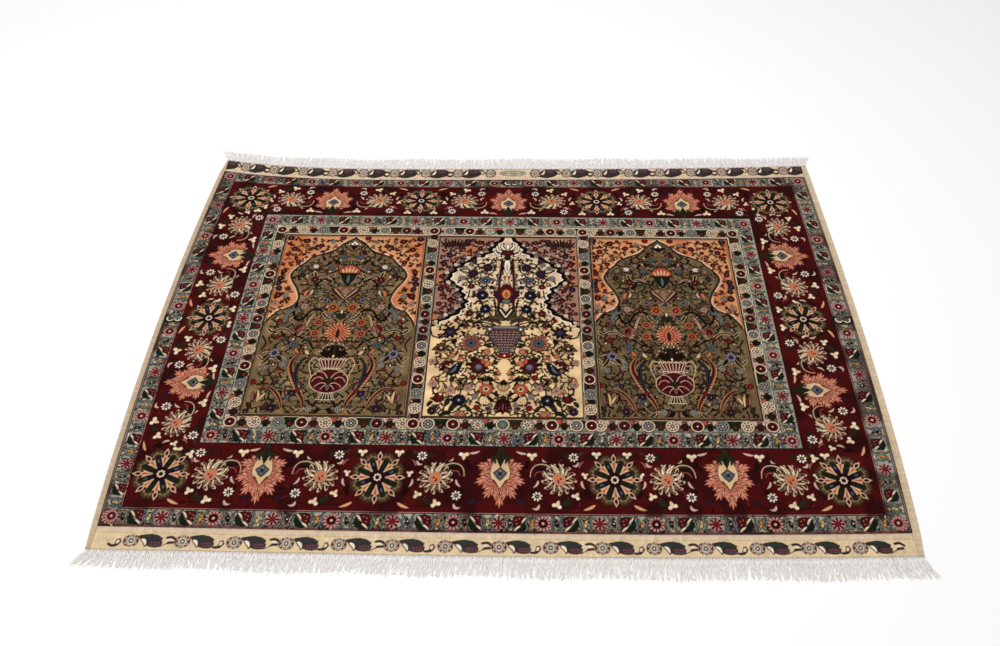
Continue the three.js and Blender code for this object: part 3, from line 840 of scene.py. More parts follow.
SIDE_BLOOMS = (
    ("slate_rose", 20, 690, 8.5), ("violet_flower", 74, 652, 8), ("slate_rose", 42, 654, 8),
    ("white_cloud", 80, 660, 6), ("red_rose", 76, 619, 9.5), ("violet_flower", 107, 632, 7),
    ("coral_ring", 22, 534, 13), ("blue_aster", 42, 556, 7), ("coral_ring", 47, 491, 10.5),
    ("coral_ring", 50, 459, 10.5), ("grey_flower", 60, 672, 6), ("slate_rose", 90, 428, 10),
    ("blue_aster", 127, 404, 11.5), ("red_bud", 130, 448, 6), ("red_bud", 157, 328, 7.5),
    ("violet_flower", 71, 300, 9), ("red_bud", 60, 308, 6), ("slate_rose", 78, 290, 6),
    ("grey_flower", 30, 262, 8), ("violet_flower", 107, 263, 9), ("red_bud", 132, 495, 6),
    ("pale_bloom", 86, 537, 8), ("violet_flower", 112, 326, 6), ("grey_flower", 104, 374, 8),
    ("red_bud", 112, 362, 5), ("grey_flower", 140, 366, 7), ("violet_flower", 156, 254, 7),
    ("blue_aster", 20, 510, 5), ("red_bud", 98, 452, 5),
)


def banded_vase(axis):
    """The vase of the side niches: a round maroon body with white palmette lines, a striped neck that
    fans out to a scalloped rim, a striped foot and two thin looped handles."""
    place = Place(axis, 335, 66)
    for side in (-1, 1):
        handle = [(28 * side, 52), (40 * side, 57), (48 * side, 44), (44 * side, 24), (38 * side, 8)]
        place.dye(place.curve(handle, 0.9), "sand")
        handle = [(34 * side, 46), (40 * side, 40), (38 * side, 26)]
        place.dye(place.curve(handle, 0.9), "celadon")
    place.edged(place.region(mirrored([(0, -32), (9, -32), (18, -50), (0, -50)])), "bark", "ivory", 1.2)
    mouth = mirrored([(0, 53), (28, 51), (24, 40), (20, 31), (0, 31)])
    place.edged(place.region(mouth), "maroon", "ivory", 1.2)
    for x in range(-3, 4):
        place.dye(place.stroke([(x * 5.4, 32), (x * 8.0, 52)], 0.75), "ivory")
        place.dye(place.disc(3.2, x * 8.6, 53.5), "ivory")
        place.dye(place.disc(1.8, x * 8.6, 52.5), "maroon")
    for x in (-2, -1, 0, 1, 2):
        place.dye(place.stroke([(x * 3.6, -32), (x * 7.0, -50)], 0.75), "ivory")
    body = place.disc(39, 0, -3, 0.77)
    place.edged(body, "maroon", "ivory", 1.5)
    place.dye(np.maximum(body + 2, place.disc(16, 0, -14, 1.0)), "claret")
    place.edged(place.petals(6, 0, 13, 2.2, 30), "moss", "black", 0.8)
    place.edged(place.region(mirrored([(0, -15), (2.6, -20), (0, -26)])), "maroon", "blush", 0.9)
    for side in (-1, 1):
        for points in (
            ((4, 5), (12, 17), (24, 20), (31, 12)), ((12, 2), (20, 7), (29, 4), (35, -5)),
            ((5, -10), (14, -8), (23, -13), (28, -19)), ((4, -13), (10, -18), (14, -25)),
        ):
            place.dye(place.curve([(side * x, y) for x, y in points], 1.0, 0.3), "blush")
        place.dye(place.disc(4.5, side * 24, 17, 0.7), "claret")
    for x in range(-7, 8):
        place.dye(place.disc(1.3, x * 4.1, 28.5), "ivory" if x % 2 else "sage")


def side_heart(axis):
    """What stands on the axis of a side niche, from the sprig of leaves over the vase to its top."""
    place = Place(axis, 405, 40)
    for side in (-1, 1):
        for x, y, width in ((8, 30, 3.4), (18, 26, 3.4), (28, 16, 3.2), (13, 12, 3.0), (34, 4, 3.0)):
            blade = place.leaf(side * x * 0.4, -12, side * x, y, width, 1.5 * side)
            place.edged(blade, "bark", "black", 0.8)
            place.dye(place.leaf(side * x * 0.85, y * 0.75, side * x, y, 1.2), "ivory")
    place.edged(place.leaf(0, -14, 0, 22, 4), "moss", "black", 0.8)
    place.dye(place.disc(2.4, 0, -8, 1.4), "ivory")
    place = Place(axis, 463, 40)
    place.edged(place.petals(20, 14, 29, 2.4, 9, 1.0, 0.8), "peach", "maroon", 0.9)
    place.edged(place.petals(16, 8, 24, 2.6, 90, 1.0, 0.8), "coral", "maroon", 0.9)
    place.dye(place.petals(16, 11, 22, 0.9, 90, 1.0, 0.8), "peach")
    heart = mirrored([(0, 19), (6, 9), (10, 2), (7, -8), (0, -14)])
    place.edged(place.region(heart), "apricot", "maroon", 1.0)
    place.edged(place.leaf(0, -16, 0, 10, 3.4), "pine", "maroon", 1.0)
    for side in (-1, 1):
        place.dye(place.leaf(0, -12, side * 7, 4, 1.0, side * 1.0), "maroon")
    place = Place(axis, 512, 22)
    calyx = mirrored([(0, 14), (5, 6), (13, 2), (8, -6), (4, -9), (0, -14)])
    place.edged(place.region(calyx), "moss", "black", 1.2)
    place.dye(place.leaf(0, 4, 0, 16, 2.2), "ivory")
    place = Place(axis, 578, 44)
    fan = mirrored([(0, 18), (14, 22), (30, 14), (22, 2), (9, -12), (0, -22)])
    place.edged(place.region(fan), "khaki", "bark", 1.8)
    for x in (-1, 1):
        place.dye(place.stroke([(0, -16), (x * 20, 12)], 1.6), "maroon")
        place.dye(place.stroke([(x * 2, -16), (x * 25, 11)], 0.8), "blush")
    for x, y in ((0, 12), (-7, 13), (7, 13), (-4, 6), (4, 6), (-14, 14), (14, 14), (-11, 7), (11, 7),
                 (0, 0), (0, -8)):
        place.edged(place.disc(1.9, x, y), "coral" if x % 2 else "blush", "dusk", 1.0)
    place.edged(place.disc(3.2, 0, -27), "blue", "black", 1.0)
    place = Place(axis, 632, 44)
    cup = mirrored([(0, 4), (18, 5), (12, -12), (3, -28), (0, -28)])
    place.edged(place.region(cup), "pine", "black", 1.6)
    place.dye(place.leaf(0, -24, 0, 4, 3.0), "sea")
    cap = mirrored([(0, 34), (12, 30), (24, 18), (22, 9), (0, 7)])
    place.edged(place.region(cap), "coral", "bark", 1.8)
    for x in (-2, -1, 0, 1, 2):
        place.edged(place.leaf(x * 6.0, 8, x * 9.0, 30 - 2.5 * abs(x) ** 1.6, 3.0), "peach", "maroon", 1.0)
    place.dye(place.stroke([(-24, 6), (24, 6)], 1.2), "black")
    place = Place(axis, 730, 24)
    place.edged(place.region(mirrored([(0, -2), (10, 2), (6, -6), (0, -14)])), "bark", "black", 1.0)
    for x, y in ((-5, 5), (5, 5), (0, 10)):
        place.edged(place.disc(3.4, x, y), "white", "umber", 0.8)


PANEL_HEIGHTS = 247, 763
# Columns: left and right edge, axis, seed and shade. A shade below 1 is painted shade: the right niche's
# ground, flecks and arabesques are drawn a tenth darker, as if less lit.
SIDE_PANELS = (208, 541, 373, 21, 1.0), (935, 1264, 1096, 22, 0.9)
for x0, x1, axis, seed, shade in SIDE_PANELS:
    y0, y1 = PANEL_HEIGHTS
    knots = panel_knots(x0, x1, y0, y1)
    depth = niche_depth(axis, SIDE_OUTLINE, x0, x1, y0, y1)
    chart[y0:y1, x0:x1] = YARN["khaki"]
    chart[y0:y1, x0:x1] *= 1 + 2.2 * grain(seed, 17, 0.05)[y0:y1, x0:x1, None]

    def edge(q):
        """Half width of the niche at a height."""
        return np.interp(q, [point[0] for point in SIDE_OUTLINE], [point[1] for point in SIDE_OUTLINE])

    def inside(q):
        """The least and most p of what fills the niche at a height."""
        return 6, min(edge(q) - 10, 150)

    flecks(axis, seed + 60, 1500, 256, 745, inside,
           ("drab", "tan", "umber", "sage", "bark", "tan", "umber", "sand", "brown", "dusk"))
    arabesques(axis, seed, 18, 262, 738, inside, 10,
               ("bark", "black", "moss", "bark", "black", "plum"), ("tan", "khaki", "tan", "sage", "olive"),
               ("rose", "tan", "slate", "coral", "ivory", "apricot", "maroon"))
    # Painted shade over the niche's ground, flecks and arabesques drawn so far.
    knots *= shade
    blend(knots, depth + 5.5, "bark")
    blend(knots, depth + 3.5, "drab")
    blend(knots, depth + 0.5, "salmon")
    warm = np.clip(grain(seed + 40, 34, 1.0)[y0:y1, x0:x1], 0, 1) * np.clip(depth, 0, 1) * 0.75
    blend(knots, warm, "apricot")
    beads(knots, depth, 1.4, 5.0, "white")
    arabesques(axis, seed + 5, 15, 488, 756, lambda q: (edge(q) + 9, 158), 5.5,
               ("brown", "umber", "maroon", "bark", "brown"), None, ("maroon", "claret", "tan", "bark"))
    blooms(axis, SIDE_SPANDREL)
    stems(axis, SIDE_STEMS)
    for points, layers, barbs in SIDE_FEATHERS:
        feather(axis, points, layers, barbs)
    leaves(axis, SIDE_LEAVES)
    blooms(axis, SIDE_BLOOMS)
    side_heart(axis)
    banded_vase(axis)
    for inset, yarn in ((0, "umber"), (2.2, "tan"), (3.4, "bark")):
        rim = np.ones(depth.shape)
        cut = int(round((inset + 1.1) / KNOT))
        rim[cut:-cut, cut:-cut] = 0
        start = int(round(inset / KNOT))
        if start:
            rim[:start], rim[-start:], rim[:, :start], rim[:, -start:] = 0, 0, 0, 0
        blend(knots, rim, yarn)


# The middle niche: a cream field under a scalloped arch with dusty rose spandrels, a flowering vase
# on its axis and flowers of many sizes around it.
MIDDLE_OUTLINE = (
    (470, 176), (480, 166), (488, 150), (497, 146), (505, 128), (512, 122), (520, 106), (530, 102),
    (538, 92), (548, 94), (556, 86), (566, 97), (576, 93), (586, 104), (596, 100), (606, 116),
    (615, 121), (624, 132), (634, 127), (642, 128), (650, 116), (658, 118), (664, 103), (674, 100),
    (682, 84), (690, 74), (697, 56), (704, 52), (712, 36), (722, 38), (732, 26), (742, 24), (752, 12),
    (770, 8),
)
MIDDLE_SPANDREL = (
    ("spandrel_rose", 66, 744, 7), ("spandrel_rose", 46, 738, 7), ("spandrel_rose", 65, 724, 7),
    ("spandrel_rose", 84, 752, 5), ("spandrel_rose", 148, 673, 7.5), ("spandrel_rose", 151, 632, 6.5),
    ("spandrel_rose", 131, 590, 6), ("spandrel_rose", 126, 559, 6), ("spandrel_rose", 151, 548, 7),
    ("violet_flower", 150, 594, 8), ("red_bud", 140, 604, 5), ("spandrel_rose", 142, 575, 5),
    ("red_bud", 119, 534, 4), ("spandrel_rose", 156, 522, 5), ("violet_flower", 96, 748, 8),
    ("red_bud", 112, 716, 5), ("violet_flower", 136, 700, 8), ("red_bud", 122, 690, 4),
    ("spandrel_rose", 156, 655, 5), ("red_bud", 139, 540, 4), ("violet_flower", 145, 520, 5),
)
CLOUD_FLOWERS = (
    ("white_cloud", 154, 496, 4.5), ("slate_rose", 145, 506, 4), ("white_cloud", 134, 516, 5),
    ("slate_rose", 118, 526, 5), ("white_cloud", 112, 536, 4), ("slate_rose", 105, 552, 4.5),
    ("white_cloud", 104, 562, 4), ("slate_rose", 110, 578, 5), ("white_cloud", 113, 592, 4.5),
    ("slate_rose", 122, 604, 5), ("white_cloud", 134, 614, 5), ("slate_rose", 142, 628, 4.5),
    ("white_cloud", 139, 645, 5), ("slate_rose", 129, 656, 5), ("white_cloud", 120, 670, 5),
    ("slate_rose", 106, 682, 5.5), ("white_cloud", 92, 693, 5), ("slate_rose", 75, 703, 5.5),
    ("white_cloud", 62, 711, 4.5), ("slate_rose", 50, 722, 4), ("white_cloud", 38, 736, 4),
)
MIDDLE_STEMS = (
    (((36, 262), (54, 270), (66, 262), (60, 252)), 1.5, "black", None, 0.3),
    (((16, 252), (34, 256), (52, 254), (72, 262), (90, 258)), 1.4, "black", None, 0.2),
    (((83, 276), (92, 262), (108, 256), (124, 262), (132, 276)), 1.6, "black", None, 0.3),
    (((90, 300), (88, 316), (96, 330), (92, 344)), 1.6, "black", None, 0.3),
    (((46, 300), (50, 286), (44, 272)), 1.4, "black", None, 0.3),
    (((12, 352), (30, 358), (48, 352), (54, 340)), 1.7, "black", None, 0.3),
    (((30, 338), (42, 346), (56, 330), (60, 322)), 1.5, "black", None, 0.3),
    (((80, 345), (92, 338), (102, 350), (98, 366)), 1.5, "black", None, 0.3),
    (((118, 362), (132, 352), (138, 336), (132, 320)), 1.4, "umber", None, 0.3),
    (((110, 390), (128, 396), (142, 388), (146, 370)), 1.4, "umber", None, 0.3),
    (((12, 404), (30, 402), (52, 404), (70, 398)), 1.6, "moss", None, 0.3),
    (((84, 456), (78, 474), (64, 484), (44, 488)), 1.6, "umber", None, 0.3),
    (((28, 488), (52, 496), (76, 494), (98, 500)), 2.0, "moss", None, 0.4),
    (((36, 498), (46, 508), (58, 512)), 1.8, "black", None, 0.3),
    (((132, 462), (144, 452), (158, 456), (162, 470)), 2.0, "black", None, 0.3),
    (((104, 452), (112, 446), (124, 450)), 1.6, "bark", None, 0.3),
    (((60, 516), (54, 506), (40, 500), (26, 498)), 1.5, "black", None, 0.2),
    (((72, 548), (62, 556), (52, 550)), 1.8, "bark", None, 0.3),
    (((62, 566), (70, 574), (72, 590)), 1.6, "black", None, 0.3),
    (((84, 590), (86, 572), (90, 560)), 1.6, "black", None, 0.3),
    (((84, 616), (94, 614), (102, 606)), 1.8, "black", None, 0.3),
    (((46, 600), (62, 604), (66, 620)), 1.8, "black", None, 0.3),
    (((66, 646), (60, 636), (64, 622)), 1.5, "black", None, 0.3),
    (((30, 660), (32, 648), (44, 640), (56, 648)), 1.6, "bark", None, 0.3),
    (((88, 668), (76, 664), (70, 654)), 1.4, "bark", None, 0.3),
    (((20, 500), (16, 560), (17, 610), (14, 650), (12, 690)), 2.2, "bark", "mauve", 0.1),
    (((24, 508), (23, 540), (26, 560)), 1.5, "black", None, 0.1),
    (((26, 590), (22, 620), (20, 645)), 1.3, "slate", None, 0.1),
)
MIDDLE_LEAVES = (
    (2, 500, 14, 540, 5.0, 0, "moss", "black"), (4, 500, 26, 530, 4.0, 2, "olive", "black"),
    (6, 500, 40, 512, 4.0, 3, "olive", "bark"), (10, 494, 62, 500, 4.0, 6, "umber", "bark"),
    (50, 494, 74, 490, 3.0, 3, "bark", "moss"), (70, 500, 92, 494, 3.0, 2, "moss", "black"),
    (56, 520, 64, 502, 3.6, 2, "bark", "black"), (90, 488, 104, 480, 2.8, 1, "bark", "black"),
    (32, 424, 44, 436, 3.6, 1, "moss", "black"), (28, 446, 40, 440, 3.2, 1, "umber", "black"),
    (106, 446, 112, 434, 4.0, 1, "bark", "black"), (54, 392, 76, 396, 3.2, 2, "moss", "black"),
    (90, 384, 96, 366, 3.2, 1, "bark", "moss"), (60, 384, 72, 392, 4.0, 1, "bark", "black"),
    (22, 338, 34, 346, 3.2, 1, "bark", "black"), (24, 322, 30, 334, 2.6, 1, "black", "bark"),
    (40, 336, 52, 342, 3.4, 2, "bark", "black"), (104, 346, 112, 334, 4.0, 1, "moss", "black"),
    (92, 336, 82, 320, 3.6, 1, "black", "moss"), (112, 366, 138, 362, 3.6, 3, "bark", "black"),
    (140, 330, 146, 312, 3.2, 1, "moss", "black"), (94, 276, 110, 262, 4.6, 2, "moss", "black"),
    (106, 258, 128, 250, 4.6, 2, "pine", "black"), (76, 274, 64, 262, 3.4, 1, "moss", "black"),
    (118, 276, 112, 290, 4.2, 1, "moss", "black"), (146, 284, 154, 272, 3.6, 1, "moss", "black"),
    (10, 298, 22, 306, 3.2, 1, "bark", "black"), (30, 296, 20, 286, 3.2, 1, "bark", "black"),
    (24, 268, 30, 256, 3.2, 1, "slate", "black"), (44, 258, 38, 248, 2.6, 1, "umber", "black"),
    (144, 348, 152, 332, 3.0, 1, "coral", "brown"), (148, 344, 140, 326, 2.4, 1, "peach", "brown"),
    (112, 320, 118, 300, 2.6, 1, "coral", "brown"), (104, 318, 100, 304, 2.4, 1, "apricot", "brown"),
    (124, 316, 128, 304, 2.4, 1, "apricot", "brown"), (86, 326, 96, 314, 2.6, 1, "mauve", "brown"),
    (62, 440, 76, 430, 3.0, 1, "mauve", "umber"), (98, 420, 92, 404, 2.6, 1, "peach", "brown"),
    (104, 412, 118, 402, 2.6, 1, "peach", "brown"), (88, 398, 100, 390, 3.0, 1, "coral", "brown"),
    (148, 390, 156, 376, 3.4, 1, "coral", "brown"), (128, 392, 138, 380, 3.0, 1, "peach", "brown"),
    (12, 366, 8, 350, 2.4, 1, "apricot", "brown"), (18, 352, 12, 338, 2.4, 1, "apricot", "brown"),
    (16, 380, 22, 390, 3.0, 1, "moss", "black"), (76, 482, 80, 470, 3.0, 1, "straw", "umber"),
    (146, 482, 158, 490, 3.0, 1, "straw", "umber"), (96, 254, 84, 248, 3.0, 1, "coral", "brown"),
)
MIDDLE_BLOOMS = (
    ("dark_rose", 45, 662, 12.5), ("dark_rose", 78, 643, 12.5), ("slate_rose", 49, 621, 13),
    ("slate_rose", 58, 588, 8), ("field_rose", 54, 575, 14), ("field_rose", 46, 534, 12.5),
    ("red_rose", 80, 521, 9), ("red_rose", 81, 602, 8), ("red_rose", 86, 487, 6.5),
    ("grey_flower", 104, 628, 8.5), ("grey_flower", 98, 660, 7.5), ("violet_flower", 78, 683, 7.5),
    ("white_cloud", 66, 690, 6), ("white_cloud", 112, 644, 6), ("grey_flower", 84, 672, 6),
    ("coral_bloom", 38, 413, 8.5),
    ("red_bud", 65, 345, 7.5), ("coral_bloom", 36, 316, 15), ("pale_bloom", 74, 318, 9),
    ("field_rose", 91, 288, 14.5), ("grey_flower", 58, 297, 7), ("red_bud", 53, 269, 7),
    ("violet_flower", 144, 261, 10), ("coral_bloom", 84, 254, 8), ("pale_bloom", 148, 328, 9),
    ("pale_bloom", 110, 312, 10), ("pale_bloom", 152, 386, 8), ("grey_flower", 26, 276, 6),
    ("red_bud", 86, 600, 4), ("red_bud", 110, 500, 5), ("coral_bloom", 112, 402, 7),
)


def striped_urn(axis):
    """The urn of the middle niche: a grey rim with two white-eyed scroll handles over a body striped
    in slate and maroon that narrows to a red foot."""
    place = Place(axis, 440, 62)
    body = mirrored([
        (0, 36), (34, 36), (36, 26), (35, 14), (29, 2), (20, -8), (13, -18), (10, -26), (10, -32), (0, -32),
    ])
    place.edged(place.region(body), "dusk", "black", 1.6)
    inside = place.region(body) + 1.5
    for step in range(-6, 7):
        lean = step * 5.2
        run = place.stroke([(lean * 0.42, -30), (lean * 0.95, 34)], 1.3)
        place.dye(np.maximum(run, inside), ("slate", "maroon")[step % 2])
    for step in range(9):
        row = np.maximum(np.abs(place.q - (28 - 7 * step)) - 0.8, inside)
        dots = np.cos(2 * np.pi * (place.p / 5.2 + 0.5 * step))
        place.dye(row + 3 * (dots > 0.1), "blush")
    place.edged(place.stroke([(-33, 40), (33, 40)], 4.0), "grey", "black", 1.3)
    place.dye(place.stroke([(-30, 38), (30, 38)], 0.8), "plum")
    foot = mirrored([(0, -30), (10, -32), (16, -37), (12, -42), (0, -44)])
    place.edged(place.region(foot), "red", "black", 1.2)
    place.dye(place.disc(2.4, 0, -37), "white")
    for side in (-1, 1):
        place.edged(place.disc(8.2, side * 34, 36), "slate", "black", 1.2)
        place.dye(place.disc(4.8, side * 34, 36), "black")
        place.dye(place.disc(3.0, side * 34, 36), "white")
        place.edged(place.leaf(side * 22, -6, side * 34, 10, 2.4, side * 3), "slate", "black", 0.9)
        place.edged(place.leaf(side * 12, -26, side * 20, -16, 2.4, side * 2), "grey", "black", 0.9)


def middle_column(axis):
    """What stands on the axis of the middle niche over the urn: dark leaves with a white V, an amber
    palmette in maroon, an ivory fan, a white column and a maroon tulip under three curls."""
    place = Place(axis, 520, 34)
    calyx = mirrored([(0, -12), (12, -4), (20, 20), (8, 14), (0, 4)])
    place.edged(place.region(calyx), "moss", "black", 1.4)
    place.dye(place.stroke([(-13, 12), (0, -10), (13, 12)], 1.4), "white")
    place.dye(place.stroke([(-9, 17), (0, 2), (9, 17)], 1.6), "umber")
    place = Place(axis, 580, 44)
    outline = mirrored([(0, 27), (9, 24), (15, 12), (27, 6), (29, -6), (20, -12), (18, -26), (0, -30)])
    place.edged(place.region(outline), "maroon", "black", 1.4)
    for side in (-1, 1):
        place.edged(place.disc(6.5, side * 19, -6, 1.4), "violet", "plum", 1.0)
        place.dye(place.leaf(side * 6, 14, side * 13, -8, 2.2, side * 2), "red")
    place.edged(place.disc(9, 0, -1, 1.5), "amber", "maroon", 1.2)
    place.edged(place.disc(5, 0, 1, 1.5), "straw", "apricot", 1.0)
    place.edged(place.leaf(0, -10, 0, 7, 3.0), "coral", "maroon", 0.9)
    place.edged(place.region(mirrored([(0, -16), (9, -18), (7, -28), (0, -30)])), "sea", "black", 1.0)
    place = Place(axis, 622, 30)
    for side in (-1, 1):
        place.edged(place.leaf(side * 2, -10, side * 14, 8, 3.6, side * 3), "ivory", "bark", 1.0)
        place.edged(place.leaf(side * 2, -4, side * 7, 14, 3.0, side * 1.5), "coral", "bark", 1.0)
    place.edged(place.leaf(0, -12, 0, 16, 3.2), "cream", "bark", 1.0)
    place = Place(axis, 665, 34)
    place.edged(place.region(mirrored([(0, 26), (5, 20), (7, 2), (4, -14), (0, -24)])), "white", "bark", 1.3)
    place.dye(place.leaf(0, -18, 0, 14, 1.6), "grey")
    for side in (-1, 1):
        place.dye(place.curve([(side * 9, -22), (side * 11, 0), (side * 7, 20)], 1.5), "plum")
        place.edged(place.leaf(side * 22, -4, side * 24, 22, 3.4, side * 2), "sand", "umber", 0.9)
    place = Place(axis, 708, 44)
    place.edged(place.disc(7, 0, -15, 1.0), "pine", "black", 1.2)
    tulip = mirrored([(0, 8), (6, 12), (13, 10), (12, 0), (6, -7), (0, -9)])
    place.edged(place.region(tulip), "maroon", "black", 1.4)
    place.dye(place.disc(2.2, 0, 2), "red")
    for side in (-1, 1):
        for points in (((8, 14), (14, 22), (13, 32)), ((16, 6), (24, 12), (26, 24)),
                       ((18, -6), (26, -2), (30, 8))):
            scroll = [(side * x, y) for x, y in points]
            place.dye(place.curve(scroll, 4.2, 0.2), "black")
            place.dye(place.curve(scroll, 2.4, 0.3), "white")
    place.edged(place.leaf(0, 14, 0, 34, 3.4), "white", "black", 1.2)
    place = Place(axis, 325, 30)
    place.edged(place.region(mirrored([(0, 15), (8, 8), (14, -2), (8, -12), (0, -15)])), "tan", "brown", 1.2)
    place.edged(place.region(mirrored([(0, 14), (8, 6), (5, 1), (0, 3)])), "bark", "black", 0.8)
    for x in (-6, 0, 6):
        place.dye(place.leaf(x, -10, x * 1.2, 0, 1.4), "straw")
    place = Place(axis, 276, 32)
    place.edged(place.disc(11, 0, 5, 1.0), "claret", "black", 1.2)
    for x, y in ((-19, -9), (19, -9), (-11, -18), (11, -18), (0, -22)):
        place.edged(place.leaf(0.5 * x, 10, x, y, 5.2, -0.2 * x), "claret", "black", 1.0)
        place.dye(place.leaf(0.5 * x, 6, 0.9 * x, 0.7 * y, 1.2, -0.2 * x), "rose")
    place.edged(place.region(mirrored([(0, 24), (6, 20), (4, 15), (0, 15)])), "moss", "black", 0.9)


def mirrored_palmettes(axis):
    """The larger side flowers of the middle niche: lotus, bird-like leaf group, palmette and tulip."""
    for flip in (-1, 1):
        place = Place(axis + flip * 137, 422, 28, flip=flip)
        mound = mirrored([(0, 12), (6, 10), (12, 4), (19, -5), (11, -6), (8, -12), (0, -9)])
        place.edged(place.region(mound), "brown", "black", 1.4)
        place.dye(place.region([(0.6 * x, 0.6 * y) for x, y in mound]), "plum")
        place.edged(place.disc(3.0, 0, 1), "ivory", "black", 0.8)
        place.dye(place.disc(1.2, 0, 1), "maroon")
        for x in (-10, -4, 4, 10):
            place.edged(place.disc(1.6, x, -11 + 0.3 * abs(x)), "pink", "brown", 0.8)
        place = Place(axis + flip * 112, 367, 34, flip=flip)
        place.edged(place.leaf(-16, 14, 8, -14, 9.0, -4), "navy", "black", 1.1)
        place.dye(place.leaf(-10, 8, 4, -10, 3.0, -4), "sea")
        place.edged(place.leaf(-6, 16, 20, 2, 6.0, 5), "maroon", "black", 1.1)
        place.edged(place.disc(5.0, 10, -4), "mauve", "maroon", 1.0)
        for x, y in ((-12, 10), (-6, 14), (2, 12), (10, 8)):
            place.dye(place.disc(1.4, x, y), "white")
        place = Place(axis + flip * 54, 374, 36, flip=flip)
        place.edged(place.petals(10, 6, 21, 4.0, 12, 0.9, 0.7), "maroon", "black", 1.1)
        place.edged(place.leaf(-14, 2, -20, 16, 5.0, 2), "apricot", "bark", 1.0)
        place.edged(place.leaf(-8, 8, -6, 20, 4.4, 2), "coral", "bark", 1.0)
        place.edged(place.disc(8.0, 0, -2), "slate", "plum", 1.2)
        place.dye(place.petals(6, 1, 6.5, 1.2, 0), "lilac")
        place.edged(place.leaf(14, 6, 28, 2, 3.4, 2), "bark", "black", 0.9)
        place = Place(axis + flip * 133, 291, 24, flip=flip)
        cup = [(-9, 10), (-2, 5), (3, 12), (9, 6), (12, -2), (4, -9), (-6, -8), (-11, 0)]
        place.edged(place.region(cup), "maroon", "black", 1.1)
        place.dye(place.leaf(-4, -5, 2, 6, 1.6), "red")
        place = Place(axis + flip * 120, 467, 28, flip=flip)
        place.edged(place.petals(8, 5, 19, 3.0, 22.5, 0.9, 1.0), "plum", "black", 1.0)
        place.edged(place.petals(8, 2, 12, 3.0, 0, 1.0, 0.6), "violet", "black", 0.8)
        place.dye(place.disc(5.0), "blue")
        place = Place(axis + flip * 73, 437, 34, flip=flip)
        place.edged(place.petals(14, 8, 25, 2.6, 0, 0.9, 0.9), "mauve", "umber", 0.9)
        place.dye(place.petals(14, 12, 22, 1.0, 0, 0.9, 0.9), "coral")
        place.edged(place.petals(8, 3, 12, 2.6, 22.5), "slate", "pine", 0.9)
        place.dye(place.disc(3.2), "navy")


MIDDLE_PANEL = (574, 903, 738)
x0, x1, axis = MIDDLE_PANEL
y0, y1 = PANEL_HEIGHTS
knots = panel_knots(x0, x1, y0, y1)
depth = niche_depth(axis, MIDDLE_OUTLINE, x0, x1, y0, y1)
knots[:] = YARN["cream"]
knots *= 1 + 1.6 * grain(31, 19, 0.04)[y0:y1, x0:x1, None]


def middle_edge(q):
    """Half width of the middle niche at a height."""
    return np.interp(q, [point[0] for point in MIDDLE_OUTLINE], [point[1] for point in MIDDLE_OUTLINE])


pale = np.clip((np.arange(y0, y1) - 480) / 160, 0, 0.6)[:, None] * np.ones(x1 - x0)
blend(knots, pale, "shell")
flecks(axis, 93, 500, 256, 745, lambda q: (6, min(middle_edge(q) - 10, 148)),
       ("bark", "olive", "coral", "moss", "maroon", "tan", "black", "slate"))
arabesques(axis, 33, 18, 260, 720, lambda q: (8, min(middle_edge(q) - 10, 148)), 9,
           ("black", "bark", "moss", "umber", "black", "pine"), None,
           ("coral", "maroon", "slate", "blush", "violet", "olive", "rose"))
blend(knots, depth + 5.4, "white")
blend(knots, depth + 2.4, "black")
blend(knots, depth - 8.0, "old rose")
warm = np.clip(grain(83, 36, 1.0)[y0:y1, x0:x1], 0, 1) * np.clip(depth - 9, 0, 1) * 0.7
blend(knots, warm, "apricot")
arabesques(axis, 35, 15, 505, 756, lambda q: (middle_edge(q) + 14, 154), 6.5,
           ("plum", "black", "bark", "black", "maroon"), None,
           ("maroon", "ivory", "violet", "blush", "claret"))
for flip in (-1, 1):
    for step in range(9):
        lean = flip * (step - 4) * 9
        place = Place(axis + flip * (100 + 6.5 * step), 742 - abs(step - 4) * 1.5, 26, 90 - lean)
        place.edged(place.leaf(-13, 0, 15, 0, 2.4), "plum" if step % 2 else "bark", "dusk", 0.9)
blooms(axis, MIDDLE_SPANDREL)
blooms(axis, CLOUD_FLOWERS)
stems(axis, MIDDLE_STEMS)
leaves(axis, MIDDLE_LEAVES)
mirrored_palmettes(axis)
blooms(axis, MIDDLE_BLOOMS)
middle_column(axis)
striped_urn(axis)
EDGE_LINE = 2
for left, low, right, high in (
    (x0, y0, x1, y0 + EDGE_LINE), (x0, y1 - EDGE_LINE, x1, y1),
    (x0, y0, x0 + EDGE_LINE, y1), (x1 - EDGE_LINE, y0, x1, y1),
):
    fill(left, low, right, high, "umber")


pile_chart = chart


# The ground plan. The woven outline isn't straight: both sides belly outwards, the near end bows out
# and the far end dips in, and the design bends with them. Millimetres, from the middle of the pile.
STRAY = {"left": (17.3, 240), "right": (12, 240), "near": (7.5, 600), "far": (24, 240)}
RIGHT_TOWARDS_NEAR, NEAR_TOWARDS_RIGHT, FAR_TOWARDS_LEFT = 0.35, 0.45, 0.6
NEAR_BAND, FAR_BAND = 45, 44
LEFT_SELVEDGE, RIGHT_SELVEDGE = (12, 4, 8), (15.5, 5.5, 2.5)
PILE_HEIGHT, BAND_HEIGHT, SELVEDGE_HEIGHT = 6.0, 2.2, 3.2


